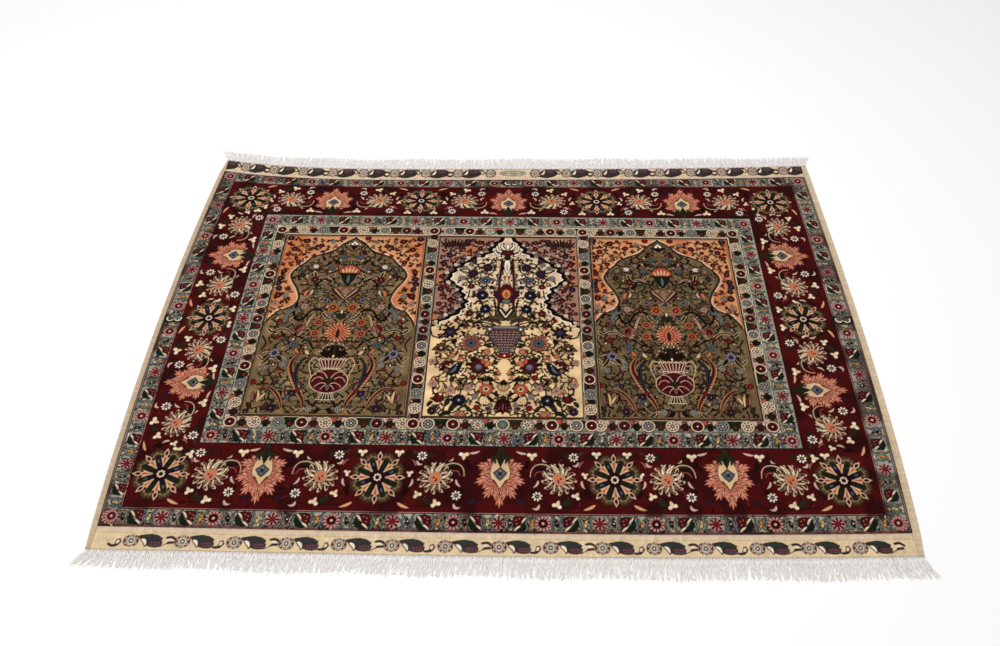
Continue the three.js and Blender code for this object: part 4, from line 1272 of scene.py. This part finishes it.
def lay_out(u, v):
    """Where a point of the straight design lies, u from the left and v from the near pile edge.

    With s and t from -1 to 1 along and across, the sides move by their most times 1 - t^2, the near
    end by its most times 1 - s^2 and the far end by its most times 1 - s^4. Each fades with the
    distance from its edge over the reach that follows its most. Three of the sides stray more towards
    one of their ends, by the shares above.
    """
    s = np.clip(2 * u / PILE_LENGTH - 1, -1, 1)
    t = np.clip(2 * v / PILE_WIDTH - 1, -1, 1)
    fade = {
        "left": np.clip(1 - np.clip(u, 0, None) / STRAY["left"][1], 0, 1) ** 1.25,
        "right": np.clip(1 - np.clip(PILE_LENGTH - u, 0, None) / STRAY["right"][1], 0, 1) ** 1.25,
        "near": np.clip(1 - np.clip(v, 0, None) / STRAY["near"][1], 0, 1) ** 2,
        "far": np.clip(1 - np.clip(PILE_WIDTH - v, 0, None) / STRAY["far"][1], 0, 1) ** 2,
    }
    most = {side: values[0] for side, values in STRAY.items()}
    x = u - PILE_LENGTH / 2 + (1 - t ** 2) * (
        most["right"] * (1 - RIGHT_TOWARDS_NEAR * t) * fade["right"] - most["left"] * fade["left"])
    y = (v - PILE_WIDTH / 2 - most["near"] * (1 - s ** 2) * (1 + NEAR_TOWARDS_RIGHT * s) * fade["near"]
         - most["far"] * (1 - s ** 4) * (1 - FAR_TOWARDS_LEFT * s) * fade["far"])
    return x, y


def selvedge_width(selvedge, v):
    """Width of a selvedge at v: its full width beside the pile, drawn in beside the end bands."""
    width, near_draw_in, far_draw_in = selvedge
    past_far = np.clip((v - PILE_WIDTH) / FAR_BAND, 0, 1)
    return width - near_draw_in * np.clip(-v / NEAR_BAND, 0, 1) - far_draw_in * past_far


def closed_cloth(name, u, v, height, cells, rows_of_uv):
    """A closed cloth over a grid, its underside on the floor, with four yarn colours to each top face.

    u, v and height are millimetres at each crossing of the grid. cells holds the colours at twice the
    grid's fineness. The UV map folds the long strip into so many rows, so that a baked square picture
    of it stays sharp, and the skirt and the underside take a single point of it.
    """
    rows, columns = u.shape[0] - 1, u.shape[1] - 1
    x, y = lay_out(u, v)
    top = np.arange(u.size).reshape(u.shape)
    ring = np.concatenate([top[0], top[1:-1, -1], top[-1, ::-1], top[-2:0:-1, 0]])
    under = u.size + np.arange(len(ring))
    points = np.zeros((u.size + len(ring), 3), np.float32)
    points[:u.size] = np.stack([x.ravel(), y.ravel(), height.ravel()], 1) / 1000
    points[u.size:, :2] = points[ring, :2]

    quads = np.stack([top[:-1, :-1], top[:-1, 1:], top[1:, 1:], top[1:, :-1]], -1).reshape(-1, 4)
    skirt = np.stack([under, np.roll(under, -1), np.roll(ring, -1), ring], 1)
    near, far = under[:columns + 1], under[columns + rows:2 * columns + rows + 1][::-1]
    floor = np.stack([near[1:-2], far[1:-2], far[2:-1], near[2:-1]], 1)
    left_end = [near[0], *under[2 * columns + rows + 1:][::-1], far[0], far[1], near[1]]
    right_end = [near[-2], far[-2], far[-1], *under[columns + 1:columns + rows][::-1], near[-1]]
    loops = np.concatenate([quads.ravel(), skirt.ravel(), floor.ravel(), left_end, right_end])
    sizes = [4] * (len(quads) + len(skirt) + len(floor)) + [len(left_end), len(right_end)]

    mesh = bpy.data.meshes.new(name)
    mesh.vertices.add(len(points))
    mesh.vertices.foreach_set("co", points.ravel())
    mesh.loops.add(len(loops))
    mesh.loops.foreach_set("vertex_index", loops.astype(np.int32))
    mesh.polygons.add(len(sizes))
    mesh.polygons.foreach_set("loop_start", np.concatenate([[0], np.cumsum(sizes)[:-1]]).astype(np.int32))
    mesh.polygons.foreach_set("use_smooth", np.arange(len(sizes)) < len(quads))
    mesh.update(calc_edges=True)

    corners = [cells[0::2, 0::2], cells[0::2, 1::2], cells[1::2, 1::2], cells[1::2, 0::2]]
    colours = np.ones((len(loops), 4), np.float32)
    colours[:, :3] = cells.reshape(-1, 3).mean(0)
    colours[:quads.size, :3] = np.stack(corners, 2).reshape(-1, 3)
    edge_colours = np.concatenate([cells[0, ::2], cells[::2, -1], cells[-1, ::-2], cells[::-2, 0]])
    colours[quads.size:quads.size + skirt.size, :3] = np.repeat(edge_colours, 4, 0)
    yarn = mesh.color_attributes.new(name="Yarn", type="BYTE_COLOR", domain="CORNER")
    yarn.data.foreach_set("color_srgb", np.clip(colours, 0, 1).ravel())

    fold = math.ceil(columns / rows_of_uv)
    j, i = np.divmod(np.arange(len(quads)), columns)
    across = (i % fold)[:, None] + np.array([0, 1, 1, 0])
    along = j[:, None] + np.array([0, 0, 1, 1])
    uv = np.zeros((len(loops), 2), np.float32)
    uv[:quads.size, 0] = (0.005 + 0.99 * across / fold).ravel()
    uv[:quads.size, 1] = ((i // fold)[:, None] + 0.01 + 0.98 * along / rows).ravel() / rows_of_uv
    uv[quads.size:] = uv[0]
    mesh.uv_layers.new(name="OFBake").data.foreach_set("uv", uv.ravel())
    mesh.validate()
    piece = bpy.data.objects.new(name, mesh)
    bpy.context.scene.collection.objects.link(piece)
    return piece


# The knotted pile: short silk and fine wool, sheared flat, in five strips so that no mesh grows too
# heavy. It rises in a rounded edge from the bands and selvedges, and lies a little unevenly.
PILE_STRIPS, PILE_STEP, PILE_EDGE = 5, 2.0, 3.2


def add_node(tree, kind, inputs=(), **settings):
    """Adds a shader node, sets its settings, and links or sets its inputs by name or number."""
    node = tree.nodes.new(kind)
    for name, value in settings.items():
        setattr(node, name, value)
    for name, value in dict(inputs).items():
        if isinstance(value, bpy.types.NodeSocket):
            tree.links.new(value, node.inputs[name])
        else:
            node.inputs[name].default_value = value
    return node


def linear(code):
    """Linear colour of an sRGB hex code, with alpha 1."""
    values = [int(code[i:i + 2], 16) / 255 for i in (1, 3, 5)]
    return [v / 12.92 if v <= 0.04045 else ((v + 0.055) / 1.055) ** 2.4 for v in values] + [1]


def new_material(name):
    """A material with an empty node tree, and that tree."""
    material = bpy.data.materials.new(name)
    material.use_nodes = True
    tree = material.node_tree
    tree.nodes.clear()
    return material, tree


def spread(tree, noise, low, high):
    """The middle of a noise's range, 0.3 to 0.7, spread over low to high."""
    return add_node(tree, "ShaderNodeMapRange", {"Value": noise.outputs["Fac"], "From Min": 0.3,
                                                 "From Max": 0.7, "To Min": low, "To Max": high})


def silk_pile():
    """Sheared silk and wool pile: matt, with only a faint warm gloss, fine knots that break up the light,
    and slight changes of dye from one part of the weaving to the next."""
    material, tree = new_material("sheared silk and wool pile")
    place = add_node(tree, "ShaderNodeTexCoord").outputs["Object"]
    yarn = add_node(tree, "ShaderNodeAttribute", attribute_name="Yarn").outputs["Color"]
    dye = add_node(tree, "ShaderNodeMapping", {"Vector": place, "Scale": (2, 34, 1)}).outputs["Vector"]
    abrash = add_node(tree, "ShaderNodeTexNoise", {"Vector": dye, "Scale": 1.0, "Detail": 3.0})
    knots = add_node(tree, "ShaderNodeTexNoise", {"Vector": place, "Scale": 520.0, "Detail": 2.0})
    tufts = add_node(tree, "ShaderNodeTexNoise", {"Vector": place, "Scale": 150.0, "Detail": 2.0})
    shade = spread(tree, abrash, 0.90, 1.10)
    speck = spread(tree, knots, 0.82, 1.16)
    value = add_node(tree, "ShaderNodeMath", {0: shade.outputs[0], 1: speck.outputs[0]},
                     operation="MULTIPLY")
    tone = add_node(tree, "ShaderNodeHueSaturation", {"Color": yarn, "Value": value.outputs[0]})
    relief = add_node(tree, "ShaderNodeMath", {0: knots.outputs["Fac"], 1: tufts.outputs["Fac"]},
                      operation="ADD")
    bump = add_node(tree, "ShaderNodeBump", {"Height": relief.outputs[0], "Strength": 0.5,
                                             "Distance": 0.0012})
    surface = add_node(tree, "ShaderNodeBsdfPrincipled", {
        "Base Color": tone.outputs["Color"], "Roughness": 0.82, "Normal": bump.outputs["Normal"],
        "Specular IOR Level": 0.03, "Specular Tint": linear("#e8c8a8"),
    })
    add_node(tree, "ShaderNodeOutputMaterial", {"Surface": surface.outputs["BSDF"]})
    return material


def pile_height(u, v):
    """Height of the pile: rounded up over PILE_EDGE from its edges, and uneven by two soft waves."""
    def rise(distance, low):
        return low + (PILE_HEIGHT - low) * (1 - (1 - np.clip(distance / PILE_EDGE, 0, 1)) ** 3)

    edge = np.minimum(rise(np.minimum(v, PILE_WIDTH - v), BAND_HEIGHT + 0.2),
                      rise(np.minimum(u, PILE_LENGTH - u), SELVEDGE_HEIGHT + 0.1))
    slow = 0.30 * np.sin(u / 83 + np.sin(v / 119)) * np.sin(v / 71 + 0.8 * np.sin(u / 137))
    fine = 0.12 * np.sin(u / 23 + 1.3 * np.sin(v / 31)) * np.sin(v / 19)
    return edge + (slow + fine) * (edge - BAND_HEIGHT) / PILE_HEIGHT


pile_material = silk_pile()
strip_lines = int(PILE_WIDTH / PILE_STEP / PILE_STRIPS)
for strip in range(PILE_STRIPS):
    first = strip * strip_lines
    lines = np.arange(first, first + strip_lines + 1) * PILE_STEP
    u, v = np.meshgrid(np.arange(0, PILE_LENGTH + 1, PILE_STEP), lines)
    cells = pile_chart[2 * first:2 * (first + strip_lines)]
    piece = closed_cloth(f"pile_{strip + 1}", u, v, pile_height(u, v), cells, 3)
    piece.data.materials.append(pile_material)
    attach(piece, "root")
    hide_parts("rug")


# The flat-woven ends: gold and ivory silk woven without pile beyond the last row of knots, with an
# ivory strip beside the pile and a row of flowers worked into the gold.
BAND_ROWS, WIDE_GAP, LAST_FLOWER = 46, 55, PILE_LENGTH - 20


def end_band(first, strip, centre, half, flowers, yarns):
    """The chart of one flat-woven end, its first row beside the pile, and one cell per millimetre.

    Between two flowers come a humped leaf, a bud and a scroll or an open loop; the leaves start
    after flower number `first`. Where half the way between two flowers is over WIDE_GAP, a plain
    oblong with pale leaves stands there, and no flower is tied past LAST_FLOWER.
    """
    global chart
    chart = np.zeros((BAND_ROWS, PILE_LENGTH, 3))
    fill(0, 0, PILE_LENGTH, BAND_ROWS, "gold")
    fill(0, 0, PILE_LENGTH, strip, "shell")
    fill(0, strip, PILE_LENGTH, strip + 1.6, "straw")
    fill(0, strip + 2.8, PILE_LENGTH, strip + 3.8, "wheat")
    fill(0, 42, PILE_LENGTH, 44, "wheat")
    for number, (at, following) in enumerate(zip(flowers, flowers[1:])):
        x, pitch = (at + following) / 2, (following - at) / 2
        place = Place(x, centre, 50, 180, pitch / 47, half / 10)
        if pitch > WIDE_GAP:
            place.edged(place.disc(27, 0, 0, 0.27), "celadon", "slate", 1.4)
            for p, q, tip_p, tip_q in ((-20, 2, -4, 4), (-18, -3, -2, -2), (2, 3, 20, 2), (4, -3, 18, -3)):
                place.edged(place.leaf(p, q, tip_p, tip_q, 1.7, 1), "shell", "slate", 0.8)
            continue
        if number % 2:
            place.dye(place.curve([(-8, -1), (-18, 6), (-27, 7), (-34, 3)], 2.1), yarns[0])
            place.dye(place.curve([(-8, -8), (-20, -3), (-31, -2)], 2.1), yarns[0])
            place.dye(place.leaf(-14, 1, -29, 3, 1.5), "white")
            place.dye(place.curve([(36, 6), (26, 7), (14, 9)], 2.2), yarns[0])
        else:
            place.dye(place.region([(-18, -8), (-26, -8), (-30, -2), (-26, 4), (-20, 2)]), yarns[0])
            place.dye(place.region([(-20, -6), (-25, -5), (-27, -1), (-24, 2), (-21, 0)]), "ivory")
            place.dye(place.curve([(-7, -6), (-14, -9), (-22, -8)], 2.1), yarns[0])
        if number < first:
            continue
        place.dye(place.disc(27, 7, 0, 0.38), yarns[2])
        humped = [(34, 8), (24, 10), (12, 11), (0, 9), (-9, 4), (-6, -1), (4, 1), (14, -1), (21, -5),
                  (25, -1)]
        place.edged(place.region(humped), yarns[1], yarns[0], 1.3)
        place.dye(place.leaf(10, 5, 27, 7, 1.2, 1), "moss")
        place.edged(place.leaf(29, 3, 19, -9, 2.8, -3), "white", yarns[0], 1.5)
        bud = [(15, -2), (6, 1), (-4, 1), (-10, -2), (-9, -8), (0, -10), (10, -9), (16, -7)]
        place.edged(place.region(bud), "maroon", yarns[0], 1.3)
        for lean in (-5, 0, 5, 10):
            for q in (-7, -3):
                place.dye(place.disc(0.9, lean + 0.3 * q, q), "lilac")
    for at in flowers:
        if at > LAST_FLOWER:
            continue
        place = Place(at, centre, 22, across=half / 10)
        place.edged(place.disc(12.8, 0, 0, 0.78), "black", "rose", 1.8)
        place.dye(place.petals(8, 3, 12.0, 2.6, 22.5, 1.0, 0.5), "shell")
        place.dye(place.petals(8, 6, 10.8, 1.1, 22.5, 1.0, 0.5), "slate")
        place.edged(place.disc(3.4), "slate", "black", 0.9)
        place.dye(place.disc(1.7), "white")
    chart *= 1 + grain(61, 9, 0.03)[..., None]
    return chart


def flatweave():
    """Flat-woven silk: smooth thin ribs across the band, with a clean soft gloss."""
    material, tree = new_material("flat-woven silk")
    place = add_node(tree, "ShaderNodeTexCoord").outputs["Object"]
    yarn = add_node(tree, "ShaderNodeAttribute", attribute_name="Yarn").outputs["Color"]
    stretched = add_node(tree, "ShaderNodeMapping", {"Vector": place, "Scale": (1, 0.22, 1)})
    ribs = add_node(tree, "ShaderNodeTexNoise", {"Vector": stretched.outputs["Vector"], "Scale": 620.0,
                                                 "Detail": 1.0})
    slub = add_node(tree, "ShaderNodeTexNoise", {"Vector": place, "Scale": 60.0, "Detail": 3.0})
    value = spread(tree, ribs, 0.86, 1.08)
    tone = add_node(tree, "ShaderNodeHueSaturation", {"Color": yarn, "Value": value.outputs[0]})
    relief = add_node(tree, "ShaderNodeMath", {0: ribs.outputs["Fac"], 1: slub.outputs["Fac"]},
                      operation="ADD")
    bump = add_node(tree, "ShaderNodeBump", {"Height": relief.outputs[0], "Strength": 0.35,
                                             "Distance": 0.0008})
    surface = add_node(tree, "ShaderNodeBsdfPrincipled", {
        "Base Color": tone.outputs["Color"], "Roughness": 0.6, "Normal": bump.outputs["Normal"],
        "Specular IOR Level": 0.25, "Sheen Weight": 0.03,
    })
    add_node(tree, "ShaderNodeOutputMaterial", {"Surface": surface.outputs["BSDF"]})
    return material


def flower_row(middle, gap, left, right, steps, closer):
    """Places of a band's flowers, in millimetres along the pile, worked outwards from the middle.

    Step k to the left lies at middle - gap / 2 - left k + closer k k, so that the flowers stand a
    little closer together towards the left end, and step k to the right at middle + gap / 2 + right k.
    Where there is no gap, the two runs share one flower.
    """
    step = np.arange(steps)
    before = middle - gap / 2 - left * step + closer * step ** 2
    after = middle + gap / 2 + right * step
    return sorted({*before.tolist(), *after.tolist()})


NEAR_FLOWERS = flower_row(739, 0, 98, 94, 9, 0.35)
FAR_FLOWERS = flower_row(745, 116, 84.5, 80.8, 10, 0.62)
flatweave_material = flatweave()
bands = []
for name, outward, depth, band in (
    ("flatweave_near", -1, NEAR_BAND, end_band(1, 11, 28, 11.5, NEAR_FLOWERS, ("black", "pine", "gold"))),
    ("flatweave_far", 1, FAR_BAND, end_band(0, 13, 28.5, 16, FAR_FLOWERS, ("black", "bark", "bark"))),
):
    lines = np.linspace(0, depth, 24)
    lines = -lines[::-1] if outward < 0 else PILE_WIDTH + lines
    cells = band[::-1] if outward < 0 else band
    u, v = np.meshgrid(np.arange(0, PILE_LENGTH + 1, 2.0), lines)
    outside = np.where(v < 0, -v, v - PILE_WIDTH)
    height = BAND_HEIGHT - 1.1 * np.clip((outside - depth + 2.0) / 2.0, 0, 1) ** 2
    height = height + 0.10 * np.sin(u / 41 + v / 17) * np.clip(outside / 8, 0, 1)
    piece = closed_cloth(name, u, v, height, cells, 4)
    piece.data.materials.append(flatweave_material)
    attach(piece, "root")
    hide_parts("rug")
    bands.append(piece)


# The selvedges: the outermost warps down each side, wrapped round with gold and ivory silk in two
# soft ridges, which run on beside the flat-woven ends.
SELVEDGE_RIDGES, WRAP = 2, 4.0
for name, selvedge, side, shade in (
    ("selvedge_left", LEFT_SELVEDGE, -1, 0.90),
    ("selvedge_right", RIGHT_SELVEDGE, 1, 0.96),
):
    lines = np.linspace(-NEAR_BAND, PILE_WIDTH + FAR_BAND, int((PILE_WIDTH + NEAR_BAND + FAR_BAND) / WRAP))
    across = np.linspace(0, 1, 13)
    share, v = np.meshgrid(across, lines)
    outside = share if side > 0 else 1 - share
    width = selvedge_width(selvedge, v)
    u = side * width * outside + (PILE_LENGTH if side > 0 else 0)
    ridge = np.abs(np.sin(np.pi * SELVEDGE_RIDGES * outside)) ** 0.6
    height = 1.5 + (SELVEDGE_HEIGHT - 1.5) * ridge * (1 - 0.25 * outside ** 4)
    rng = np.random.default_rng(71 + side)
    tint = rng.normal(0, 0.035, (2 * (len(lines) - 1), 1, 1))
    stripes = "wheat gold gold shell shell gold wheat shell ivory shell gold wheat".split()
    stripes = np.stack([YARN[stripe] for stripe in stripes])
    stripes = np.repeat(stripes, 2, 0)
    stripes = stripes if side > 0 else stripes[::-1]
    cells = stripes[None] * (1 + tint) * shade
    piece = closed_cloth(name, u, v, height, cells, 1)
    piece.data.materials.append(flatweave_material)
    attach(piece, "root")
    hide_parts("rug")


# The fringes: the warp ends beyond each band, ivory silk. They are knotted in small bundles along the
# band and then lie loose on the floor, splayed at the corners and gathered here and there.
STRANDS, STRAND_RINGS, LOCKS, SPLAY_SHARE = 1200, 7, 130, 0.07
FRINGE_ENDS = (
    {"name": "near", "outward": -1, "left": 31, "right": 42, "swell": 2, "lean_left": -20, "lean_right": 19},
    {"name": "far", "outward": 1, "left": 37, "right": 36, "swell": 7, "lean_left": -22, "lean_right": 16},
)
UNEVEN_REACH = 2.0


def silk_fringe():
    """Unspun ivory silk warp: pale, soft and slightly glossy, a little greyer in some bundles."""
    material, tree = new_material("ivory silk warp")
    place = add_node(tree, "ShaderNodeTexCoord").outputs["Object"]
    bundles = add_node(tree, "ShaderNodeTexNoise", {"Vector": place, "Scale": 90.0, "Detail": 3.0})
    tone = add_node(tree, "ShaderNodeMix", {
        "Factor": bundles.outputs["Fac"], "A": linear("#fffdf9"), "B": linear("#e9ded8"),
    }, data_type="RGBA")
    surface = add_node(tree, "ShaderNodeBsdfPrincipled", {
        "Base Color": tone.outputs[2], "Roughness": 0.55, "Specular IOR Level": 0.4,
        "Sheen Weight": 0.15,
    })
    add_node(tree, "ShaderNodeOutputMaterial", {"Surface": surface.outputs["BSDF"]})
    return material


def strands(end, count, seed):
    """Centre lines, in millimetres, of the loose warp ends: count x rings x 3.

    With s the share of the way along the end, they reach left + (right - left) s + 4 swell s (1 - s)
    beyond the band, and a little more or less in slow waves.
    """
    rng = np.random.default_rng(seed)
    edge = -NEAR_BAND if end["outward"] < 0 else PILE_WIDTH + FAR_BAND
    start = -selvedge_width(LEFT_SELVEDGE, edge)
    finish = PILE_LENGTH + selvedge_width(RIGHT_SELVEDGE, edge)
    share = (np.arange(count) + 0.5) / count
    x, y = lay_out(start + (finish - start) * share, np.full(count, float(edge)))
    lock = share * LOCKS
    reach = end["left"] + (end["right"] - end["left"]) * share + 4 * end["swell"] * share * (1 - share)
    reach = reach + UNEVEN_REACH * np.sin(0.3 * lock + end["outward"]) + rng.normal(0, 2.2, count)
    near_left = np.clip(1 - share / SPLAY_SHARE, 0, 1) ** 2
    near_right = np.clip(1 - (1 - share) / SPLAY_SHARE, 0, 1) ** 2
    clump = 3.2 * (np.sin(lock * 0.41) + 0.6 * np.sin(lock * 0.93 + end["outward"]))
    gather = -2.2 * np.sin(2 * np.pi * lock) * rng.uniform(0.4, 1.2, count)
    lean = end["lean_left"] * near_left + end["lean_right"] * near_right
    lean = lean + (clump + gather) * (1 - np.maximum(near_left, near_right)) + rng.normal(0, 2.0, count)
    s = np.linspace(0, 1, STRAND_RINGS)[None, :]
    wave = rng.uniform(-1, 1, (count, 1)) * 3.0
    wave = wave * np.sin(2 * np.pi * (1.6 * s + rng.uniform(0, 1, (count, 1))))
    knot = np.floor(lock) + 0.5
    pinch = (knot - lock)[:, None] * (finish - start) / LOCKS * 0.35 * np.exp(-((s - 0.18) / 0.10) ** 2)
    px = x[:, None] + lean[:, None] * s ** 1.3 + wave * s + pinch
    py = y[:, None] + end["outward"] * (0.3 + (reach[:, None] - 0.3) * s)
    pz = 0.55 + rng.uniform(0.3, 1.9, (count, 1)) * (1 - s) ** 0.7
    pz = pz + 0.5 * rng.uniform(0, 1, (count, 1)) * s * (1 - s)
    return np.stack([px, py, pz], -1)


def tubes(paths, radius):
    """Vertices and faces of closed three-sided tubes along paths (count x rings x 3), radius by ring."""
    count, rings = paths.shape[:2]
    turn = 2 * np.pi * np.arange(3) / 3 + np.pi / 6
    ring = np.stack([np.cos(turn), np.zeros(3), np.sin(turn)], -1)
    points = paths[:, :, None, :] + radius[None, :, None, None] * ring
    index = np.arange(count * rings * 3).reshape(count, rings, 3)
    after = np.roll(index, -1, 2)
    walls = np.stack([index[:, :-1], index[:, 1:], after[:, 1:], after[:, :-1]], -1).reshape(-1, 4)
    return points.reshape(-1, 3), walls, index[:, 0, ::-1], index[:, -1]


fringe_material = silk_fringe()
for end, band, depth in zip(FRINGE_ENDS, bands, (NEAR_BAND, FAR_BAND)):
    paths = strands(end, STRANDS, 5 + end["outward"])
    points, walls, roots, tips = tubes(paths, np.array([0.8, 1.0, 0.9, 0.85, 0.8, 0.7, 0.4]))
    points[:, 2] = np.maximum(points[:, 2], 0.02)
    faces = walls.tolist() + roots.tolist() + tips.tolist()
    mesh = bpy.data.meshes.new("fringe_" + end["name"])
    mesh.from_pydata((points / 1000).tolist(), [], faces)
    mesh.polygons.foreach_set("use_smooth", [True] * len(mesh.polygons))
    mesh.update()
    piece = bpy.data.objects.new("silk_fringe_" + end["name"], mesh)
    bpy.context.scene.collection.objects.link(piece)
    piece.data.materials.append(fringe_material)
    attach(piece, "root")
    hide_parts("fringe_" + end["name"])


# The floor and the light: a plain pale floor, a wide soft light from above and pale light from all
# around. They belong to the photograph and not to the rug.
mesh = bpy.data.meshes.new("floor")
mesh.from_pydata([(-6, -6, 0), (6, -6, 0), (6, 9, 0), (-6, 9, 0)], [], [(0, 1, 2, 3)])
floor = bpy.data.objects.new("floor", mesh)
bpy.context.scene.collection.objects.link(floor)
material, tree = new_material("matt white floor")
surface = add_node(tree, "ShaderNodeBsdfPrincipled", {"Base Color": (0.97, 0.97, 0.97, 1), "Roughness": 0.9,
                                                      "Specular IOR Level": 0.1})
add_node(tree, "ShaderNodeOutputMaterial", {"Surface": surface.outputs["BSDF"]})
floor.data.materials.append(material)

world = bpy.data.worlds.new("soft daylight")
world.use_nodes = True
world.node_tree.nodes["Background"].inputs["Color"].default_value = (1, 1, 1, 1)
world.node_tree.nodes["Background"].inputs["Strength"].default_value = 0.70
bpy.context.scene.world = world
light = bpy.data.lights.new("overhead softbox", "AREA")
light.shape = "RECTANGLE"
light.size, light.size_y = 2.6, 2.0
light.energy = 38
lamp = bpy.data.objects.new("overhead softbox", light)
lamp.location = (-0.5, 0.2, 2.6)
bpy.context.scene.collection.objects.link(lamp)

# The camera stands a little more than arm's length from the near fringe and looks down at fifty
# degrees, almost level. The picture's middle lies 3 % of its width beside the lens's axis.
CAMERA_PLACE = (0.0379, -1.2275, 1.4592)
CAMERA_TURNS = (40.052, -0.497, 0.301)
camera = bpy.data.objects.new("camera", bpy.data.cameras.new("camera"))
camera.location = CAMERA_PLACE
camera.rotation_euler = [math.radians(turn) for turn in CAMERA_TURNS]
camera.data.sensor_width = 36
camera.data.lens = 30.96
camera.data.shift_x = -0.0309
bpy.context.scene.collection.objects.link(camera)
bpy.context.scene.camera = camera
bpy.context.scene.view_settings.view_transform = "Standard"
